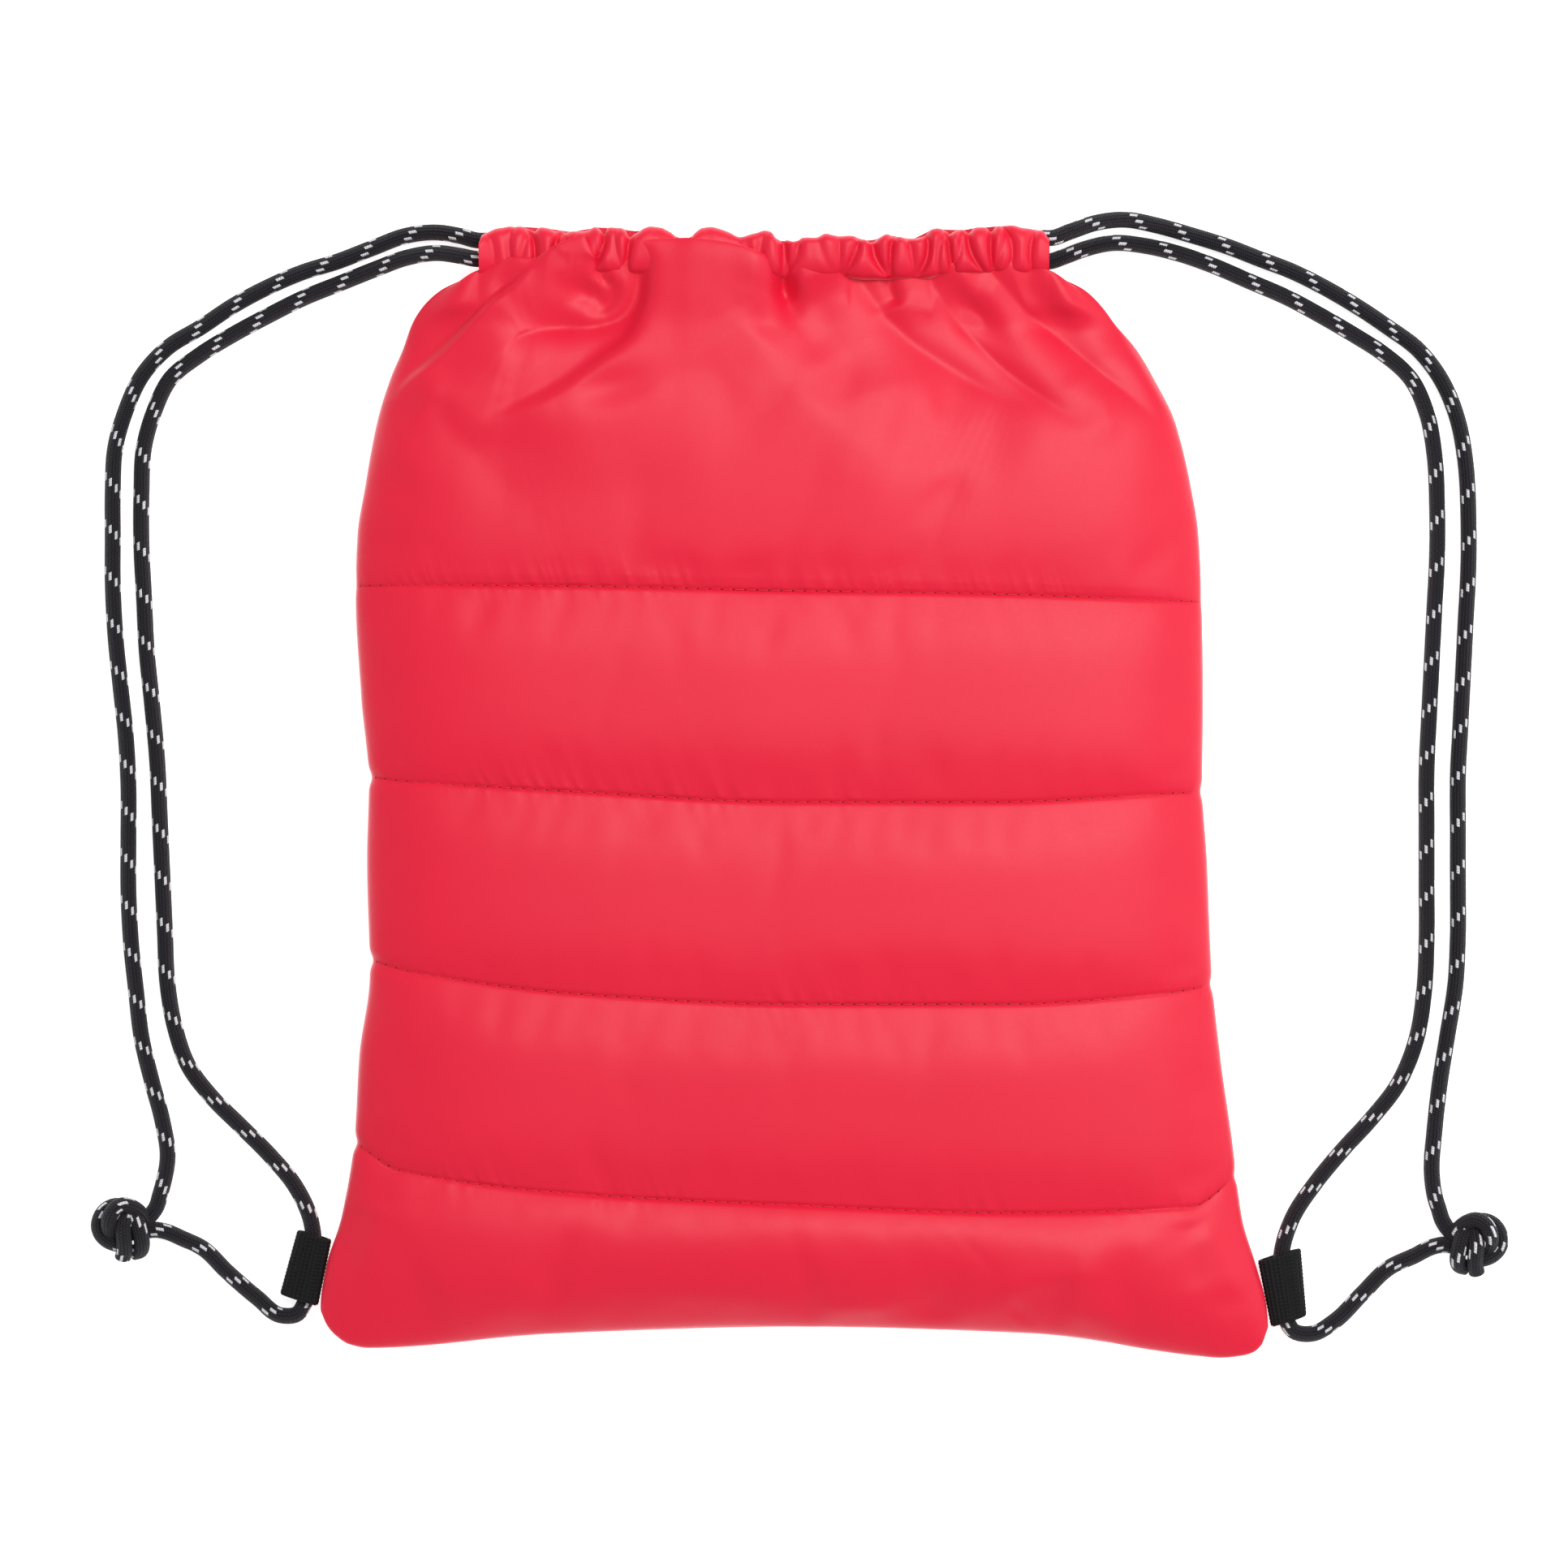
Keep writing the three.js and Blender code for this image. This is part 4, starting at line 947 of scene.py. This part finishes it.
def settle_front():
    """How far the cloth moves at even steps of each baffle, in millimetres."""
    u = np.linspace(0, 1, CLOTH_COLUMNS)
    blocks, held, starts, used = [], [], {}, 0
    for line, count in CLOTH_ROWS.items():
        t = np.linspace(0, 1, count)
        if line > 1:
            t = t[1:]
        U, T = np.meshgrid(u, t)
        blocks.append(front_surface(U, line, T, detail=False))
        starts[line] = used - (line > 1)
        used += len(t)
        hold = np.zeros(U.shape)
        hold[:, :2] = hold[:, -2:] = hold[-1] = 1
        if line == 1:
            hold = np.maximum(hold, 1 - smoothstep((T - 0.15) / 0.25))
        held.append(hold)
    grid = np.concatenate(blocks, 0)
    held = np.concatenate(held, 0).ravel()
    obj = new_object("cloth_study", grid.reshape(-1, 3), grid_faces(*grid.shape[:2])[:, ::-1], [red])
    group = obj.vertex_groups.new(name="held")
    for k in np.nonzero(held > 0)[0]:
        group.add([int(k)], float(held[k]), "REPLACE")
    cloth = obj.modifiers.new("cloth", "CLOTH")
    wear = cloth.settings
    wear.quality = 6
    wear.mass = 0.02
    wear.tension_stiffness = wear.compression_stiffness = 12
    wear.shear_stiffness = 4
    wear.bending_stiffness = 0.3
    wear.air_damping = 4
    wear.vertex_group_mass = "held"
    wear.shrink_min = -CLOTH_GROWTH
    wear.use_pressure = True
    wear.uniform_pressure_force = 1.5
    wear.effector_weights.gravity = 0
    cloth.collision_settings.use_collision = False
    cloth.point_cache.frame_start, cloth.point_cache.frame_end = 1, CLOTH_FRAMES
    scene = bpy.context.scene
    for frame_number in range(1, CLOTH_FRAMES + 1):
        scene.frame_set(frame_number)
    seen = obj.evaluated_get(bpy.context.evaluated_depsgraph_get()).to_mesh()
    moved = np.empty(len(seen.vertices) * 3)
    seen.vertices.foreach_get("co", moved)
    shift = moved.reshape(grid.shape) / MM - grid
    scene.frame_set(1)
    mesh = obj.data
    bpy.data.objects.remove(obj)
    bpy.data.meshes.remove(mesh)
    for _ in range(3):
        for axis in (0, 1):
            side = [(0, 0)] * 3
            side[axis] = (1, 1)
            wide = np.moveaxis(np.pad(shift, side, mode="edge"), axis, 0)
            shift = np.moveaxis((wide[:-2] + 2 * wide[1:-1] + wide[2:]) / 4, 0, axis)
    size = np.linalg.norm(shift, axis=-1, keepdims=True)
    shift = shift * (CLOTH_CAP * np.tanh(size / CLOTH_CAP) / np.maximum(size, 1e-9))
    return {line: shift[starts[line]:starts[line] + count] for line, count in CLOTH_ROWS.items()}


cloth_shift = settle_front()


def clothed(u, line, t):
    """The front's surface over a grid of shares, moved as the cloth did."""
    U, T = np.meshgrid(u, t)
    points = front_surface(U, line, T)
    if line in cloth_shift:
        shift = cloth_shift[line]
        down, across = cubic_weights(shift.shape[0], t), cubic_weights(shift.shape[1], u)
        points = points + np.einsum("ij,jkc,lk->ilc", down, shift, across, optimize=True)
    return points


# The top baffle, from the casing seam to the first stitch line
top_grid = clothed(eased(int(380 * fine), 0.3), 1, eased(int(150 * fine), 0.5))
front_top = sheet_piece("front_top_baffle", hemmed(top_grid), flip=True)

# The four baffles below it
u_low = eased(int(320 * fine), 0.3)
blocks = []
for line, count in ((2, 82), (3, 80), (4, 80), (5, 56)):
    t_rows = eased(int(count * fine), 0.62)
    blocks.append(clothed(u_low, line, t_rows[1:] if line > 2 else t_rows))
front_low = sheet_piece(
    "front_baffles", hemmed(np.concatenate(blocks, 0), bottom=True), flip=True,
)


def front_lining(u, line, t):
    x, y = place_of(u, line, t)
    top = crown_of(line, t) - STITCHED / 2 - lining_puff(line, t)
    return np.stack([x, y, lerp(front_edge(line, t), top, fullness(u, line, t))], -1)


def back_lining(u, line, t):
    x, y = place_of(u, line, t)
    full = clamp(1.15 * fullness(u, line, t))
    return np.stack([x, y, lerp(back_edge(line, t), BACK_THICKNESS + BACK_PUFF * puff_at(t), full)], -1)


def back_face(u, line, t):
    """Points of the outside that the bag lies on."""
    x, y = place_of(u, line, t)
    full = clamp(1.15 * fullness(u, line, t))
    low = BACK_LIFT * np.maximum(0, 1 - 1.8 * puff_at(t))
    near = np.minimum(t, 1 - t) * baffle_height(u, line)
    ripple = 0.5 * pucker_above[line](u * RUN + 90) * np.exp(-near / 6) * smoothstep(near / 1.2)
    z = lerp(back_edge(line, t) - STITCHED, low + np.maximum(0, ripple) * (low > 0.3), full)
    return np.stack([x, y, np.maximum(z, 0.02)], -1)


def whole_panel(surface, columns, counts):
    u = eased(columns, 0.3)
    parts = []
    for line, count in zip(range(1, LAST + 1), counts):
        t_rows = eased(count, 0.5)
        U, T = np.meshgrid(u, t_rows[1:] if line > 1 else t_rows)
        parts.append(surface(U, line, T))
    return np.concatenate(parts, 0)


lining = sheet_piece("front_lining", whole_panel(front_lining, 90, (30, 20, 20, 20, 14)))
upper = whole_panel(back_lining, 150, (44, 32, 32, 32, 22))
lower = whole_panel(back_face, 150, (44, 32, 32, 32, 22))
index = np.arange(upper[..., 0].size).reshape(upper.shape[:2])
rim = np.concatenate([index[0, :-1], index[:-1, -1], index[-1, :0:-1], index[:0:-1, 0]])
ahead = np.roll(rim, -1)
back = bag_piece(
    "back_baffles", "back_panel",
    np.concatenate([upper.reshape(-1, 3), lower.reshape(-1, 3)]),
    np.concatenate([
        grid_faces(*index.shape)[:, ::-1], grid_faces(*index.shape, start=index.size),
        np.stack([rim, ahead, ahead + index.size, rim + index.size], 1),
    ]),
    [red],
)


# ---- casings
# The front casing's free edge, in pixels of the photograph
CASING_EDGE = [
    (592, 306), (596, 294), (605, 288), (619, 283.4), (633, 281.3), (647, 281), (657, 283.7),
    (660.4, 287), (667, 283.5), (677, 285), (686, 288.5), (693, 285), (702, 288.6), (712, 288.8),
    (726, 287), (734, 283.4), (743, 287.5), (746, 289), (750, 283.6), (760, 283.8), (771, 287),
    (776, 293), (786, 291), (795, 285.5), (805, 282.7), (815, 283.7), (826, 288.6), (841, 299),
    (851, 297.5), (858, 290.6), (867, 285), (876, 283.7), (888, 286), (901, 290.6), (911, 295),
    (922, 293), (931, 291), (944, 287.2), (951, 290), (957, 297), (967, 297.5), (977, 301), (988, 296),
    (1004, 296.4), (1017, 292), (1026, 293.6), (1054, 294.6), (1063, 297.5), (1072, 300),
    (1083, 295.7), (1094, 291.8), (1111, 295.7), (1129, 297.5), (1135, 294.6), (1144, 286.8),
    (1154, 284.6), (1165, 285), (1169, 291), (1183, 284.6), (1192, 287.5), (1201, 283), (1213, 283.2),
    (1219, 286), (1226, 280.4), (1236, 279), (1247, 280.4), (1261, 284), (1278, 284.8), (1285, 288),
    (1290, 296),
]
# Where the gathers sink in: pixels across the photograph, the depth and the half width
CREASES = [
    (610, 1.0, 2), (630, 1.2, 1.6), (648, 1.4, 1.8), (661, 3.0, 1.5), (686, 3.2, 1.5), (702, 2.2, 1.6),
    (722, 1.2, 2), (745, 3.6, 1.2), (760, 1.2, 1.5), (776, 3.4, 1.4), (841, 1.0, 4), (911, 1.0, 4),
    (938, 1.2, 2), (966, 4.6, 1.6), (984, 2.2, 1.6), (1010, 0.8, 2.5), (1034, 1.6, 1.8),
    (1056, 3.2, 1.5), (1074, 4.2, 1.6), (1097, 3.6, 1.5), (1120, 2.0, 1.8), (1143, 4.6, 1.3),
    (1156, 1.8, 1.4), (1168, 3.4, 1.3), (1182, 1.6, 1.4), (1193, 3.2, 1.5), (1219, 3.6, 1.4),
    (1234, 1.4, 1.6), (1246, 2.2, 1.7), (1268, 2.4, 1.8),
]
edge_up = curve_through(*photo_path(*CASING_EDGE).T)
fine_wrinkle = waves(300, 2.4, 9)
soft = waves(300, 6.5, 5)


def crease_depth(x, y):
    depth = np.zeros(np.broadcast(x, y).shape)
    for k, (px, sink, width) in enumerate(CREASES):
        lean, bow = 0.13 * ((k * 7) % 5 - 2), 0.012 * ((k * 5) % 7 - 3)
        d = np.abs(x - photo_x(px) - lean * (y - casing_y) - bow * (y - casing_y) ** 2)
        depth = depth + sink * np.exp(-((d / width) ** 1.3))
    return depth + 0.3 * fine_wrinkle(x + 130 + 0.2 * y) + 0.35 * soft(x + 130 - 0.15 * y)


# How far the upper cord in the casings comes down to stay inside the gathers; the other cord
# makes room by a share of that
LOWER_DIP = 0.55
dip_x = np.linspace(casing_left, casing_right, 120)
dip_low = np.array([np.min(edge_up(x + np.linspace(-6, 6, 9))) for x in dip_x])
dip_low = np.convolve(np.pad(dip_low, 4, mode="edge"), np.ones(9) / 9, "valid")


def dip_of(x):
    return np.interp(x, dip_x, np.maximum(0, casing_y + LANE - (dip_low - 5.5)))


def back_centre(x):
    return BACK_CASING + 0 * x


# How far the casing reaches down from its middle: more where the front's edge lies lower
low_at = curve_through(
    [photo_x(px) for px in (592, 1040, 1060, 1144, 1156, 1290)],
    [CASING_HEIGHT / 2 + more for more in (-1.2, 0, 3.2, 3.2, 0, -0.8)],
)


def casing(name, node, top_at, crease_at, centre_at, facing, columns, around_count):
    """A gathered tube of fabric with open ends; facing is where its wall meets the other casing."""
    middle, half = (casing_left + casing_right) / 2, (casing_right - casing_left) / 2
    facing_share = (half - END_CUT) / half
    angle = np.linspace(0, 2 * np.pi, around_count, endpoint=False)
    A, P = np.meshgrid(angle, np.linspace(0, 1, columns))
    layers = []
    for wall in (0.0, CASING_WALL):
        along = lerp(casing_left, casing_right, P)
        c, s = np.cos(A), np.sin(A)
        up = np.sign(c) * np.abs(c) ** 0.7
        out = np.sign(s) * np.abs(s) ** 0.7
        is_facing = smoothstep((out * facing) * 3)
        x = lerp(along, middle + (along - middle) * facing_share, is_facing)
        # The casing's lower edge draws in near its two ends
        end = 1 - smoothstep(np.minimum(x - casing_left, casing_right - x) / 9)
        low = low_at(x) - 3.2 * end
        roomy = np.maximum(low, CASING_HEIGHT / 2 + LOWER_DIP * dip_of(x))
        low = lerp(low, roomy, 0.8 + 0.2 * is_facing)
        reach_up = np.where(up > 0, top_at(x) - casing_y, low) - wall
        y = casing_y + reach_up * up
        z = centre_at(x) + (CASING_THICKNESS / 2 - wall) * out
        sink = crease_at(x, y)
        # Its outer wall swells between the creases, and stays above the floor
        z = z + facing * np.minimum(1.15 * sink - 2.2, 1.8) * clamp(-out * facing)
        z = np.maximum(z, 0.1 + 0.8 * wall)
        y = y - 0.35 * np.minimum(sink, 3) * clamp(up)
        layers.append(np.stack([x, y, z], -1))
    n = columns * around_count
    outside = grid_faces(columns, around_count, wrap=True)
    inside = grid_faces(columns, around_count, wrap=True, start=n)[:, ::-1]
    k = np.arange(around_count)
    rim = np.stack([k, k + n, (k + 1) % around_count + n, (k + 1) % around_count], 1)
    faces = np.concatenate([outside, inside, rim[:, ::-1], rim + n - around_count])
    points = np.concatenate([layer.reshape(-1, 3) for layer in layers])
    obj = bag_piece(name, node, points, faces, [red])


casing(
    "gathered_casing_front", "front_casing", edge_up, crease_depth, casing_centre,
    facing=-1, columns=int(430 * fine) + 1, around_count=40,
)
casing(
    "gathered_casing_back", "back_casing",
    lambda x: edge_up(x) - 0.8 + 0.4 * soft(x + 130),
    lambda x, y: 1.6 + 0.7 * soft(x + 130 + 0.1 * y),
    back_centre, facing=1, columns=int(200 * fine) + 1, around_count=28,
)


# ---- cords inside the casings
def lane(xs, upper, centre_at):
    """Where a cord runs in a casing: both lie lower where the gathers come down."""
    dip = dip_of(xs)
    ys = casing_y + (LANE - dip if upper > 0 else -LANE - LOWER_DIP * dip)
    return list(np.stack([xs, ys, centre_at(xs)], 1))


for side, sign in (("left", -1), ("right", 1)):
    near, far = casing_left + END_INSET + GAP, casing_right - END_CUT
    if sign > 0:
        near, far = casing_right - END_INSET - GAP, casing_left + END_CUT
    xs = np.linspace(near, far, 41)
    front_lane, back_lane = lane(xs, sign, casing_centre), lane(xs, -sign, back_centre)
    # Past the far end of the casings the cord turns back
    start, end = front_lane.pop(), back_lane.pop()
    centre, arm = (start + end) / 2, (start - end) / 2
    aside = np.array([-sign * np.linalg.norm(arm), 0, 0])
    bight = [
        centre + arm * math.cos(angle) + aside * math.sin(angle)
        for angle in np.linspace(0, math.pi, 9)
    ]
    path = front_lane + bight + back_lane[::-1]
    braided(f"channel_cord_{side}", f"cord_{side}_channel", path, side, 3.0, 2.0)


# ---- webbing loops
WEBBING_WIDTH = 25.0
WEBBING_THICKNESS = 1.3
LOOP_HEIGHT = 10.4
LOOP_TILT = 0.3
RIB_HEIGHT, RIB_PITCH = 0.36, 1.55
TWILL_HEIGHT, TWILL_PITCH = 0.08, 1.4
# The height of its middle, the way it points, and its reach at the top and at the bottom edge
LOOPS = {"left": (-184.0, -1, 13.0, 14.6), "right": (-192.0, 1, 16.4, 13.6)}
# Its section as shares of its reach and of its height
LOOP_SECTION = [
    (0, 0.42), (0.1, 0.14), (0.32, 0), (0.62, 0.02), (0.9, 0.18), (1, 0.48), (0.88, 0.76), (0.62, 0.94),
    (0.3, 1), (0, 0.93),
]


def webbing_loop(side):
    place, outwards, top_reach, bottom_reach = LOOPS[side]
    reach = (top_reach + bottom_reach) / 2
    wide, high = reach - WEBBING_THICKNESS, LOOP_HEIGHT - WEBBING_THICKNESS
    line = [(o * wide, 0, h * high) for o, h in LOOP_SECTION]
    path, along = spline(line, 0.22)
    path = path + np.array([1, 0, 1]) * WEBBING_THICKNESS / 2
    tangent = np.gradient(path, axis=0)
    tangent /= np.linalg.norm(tangent, axis=1)[:, None]
    normal = np.stack([tangent[:, 2], 0 * along, -tangent[:, 0]], 1)
    ribs = RIB_HEIGHT * np.abs(np.sin(np.pi * along / RIB_PITCH)) - 0.2
    shares = np.concatenate([[0, 0.008], np.linspace(0.02, 0.98, 121), [0.992, 1]])
    selvage = np.interp(shares, [0, 0.02, 0.98, 1], [0.55, 1, 1, 0.55])
    twill = TWILL_HEIGHT * np.cos(2 * np.pi * shares * WEBBING_WIDTH / TWILL_PITCH)
    ends = np.array([-WEBBING_WIDTH / 2, WEBBING_WIDTH / 2])
    edges = edge_at(side, place + ends)
    bow = max(0.0, outwards * (float(edge_at(side, place)) - edges.mean()))
    layers = []
    for face in (1, -1):
        relief = (ribs[None] + twill[:, None]) * (selvage[:, None] > 0.9)
        thick = WEBBING_THICKNESS / 2 * selvage[:, None] + relief
        p = path[None] + face * normal[None] * thick[..., None]
        out = p[..., 0] * (lerp(bottom_reach, top_reach, shares)[:, None] / reach)
        x = lerp(edges[0], edges[1], shares)[:, None] + outwards * (GAP + bow + out)
        y = place + lerp(ends[0], ends[1], shares)[:, None] + LOOP_TILT * out
        layers.append(np.stack([x, y, np.maximum(p[..., 2] + 0.25, 0.02)], -1))
    strip = np.concatenate([layers[0], layers[1][:, ::-1]], 1)
    count, columns, _ = strip.shape
    faces = grid_faces(count, columns, wrap=True)
    half = columns // 2
    k = np.arange(half - 1)
    near_end = np.stack([k, k + 1, columns - 2 - k, columns - 1 - k], 1)
    far_end = near_end[:, ::-1] + (count - 1) * columns
    faces = np.concatenate([faces, near_end[:, ::-1], far_end[:, ::-1]])
    if outwards > 0:
        faces = faces[:, ::-1]
    bag_piece(
        f"ribbed_loop_{side}", f"webbing_loop_{side}", strip.reshape(-1, 3), faces,
        [black_webbing],
    )


webbing_loop("left")
webbing_loop("right")


# ---- stitching
STITCH = 4.5
THREAD_RADIUS = 0.3
HOLE_RADII = [0.5, 0.45, 0.28]
HOLE_POINTS = np.array([(0, 0, 1), (1, 0, 0), (0, 1, 0), (-1, 0, 0), (0, -1, 0), (0, 0, -1)])
HOLE_FACES = np.array([
    (0, 1, 2), (0, 2, 3), (0, 3, 4), (0, 4, 1), (5, 2, 1), (5, 3, 2), (5, 4, 3), (5, 1, 4),
])


def stitches(name, surface, outwards):
    """Threads along the stitch lines, each stitch a low arch between two needle holes."""
    parts, holes = [], []
    shares = np.linspace(0.002, 0.998, 240)
    steps = np.linspace(0.25, STITCH - 0.25, 7)
    arch = clamp(np.sin(np.pi * (steps - steps[0]) / (steps[-1] - steps[0]))) ** 0.5
    for line in range(1, LAST):
        path, along = spline(surface(shares[None], line, np.ones((1, len(shares))))[0], 0.3)
        for start in np.arange(2.0, along[-1] - STITCH, STITCH):
            at = np.append(start + steps, start)
            *thread, hole = np.stack([np.interp(at, along, path[:, k]) for k in range(3)], 1)
            thread = np.array(thread)
            thread[:, 2] += outwards * (-0.15 + 0.35 * arch)
            parts.append(tube(thread, steps, THREAD_RADIUS, 6))
            # Each needle hole is a small dark solid on the surface, painted shade
            holes.append(hole + HOLE_POINTS * HOLE_RADII + [0, 0, 0.02 * outwards])
    points, faces, _ = joined(parts)
    count = len(faces)
    for k in range(len(holes)):
        faces += (HOLE_FACES + len(points) + k * len(HOLE_POINTS)).tolist()
    obj = bag_piece(
        name, None, np.concatenate([points, *holes]), faces, [red_thread, needle_hole_shade],
    )
    for polygon in obj.data.polygons[count:]:
        polygon.material_index = 1


stitches("front_stitching", front_surface, 1.0)
stitches("back_stitching", back_face, -1.0)
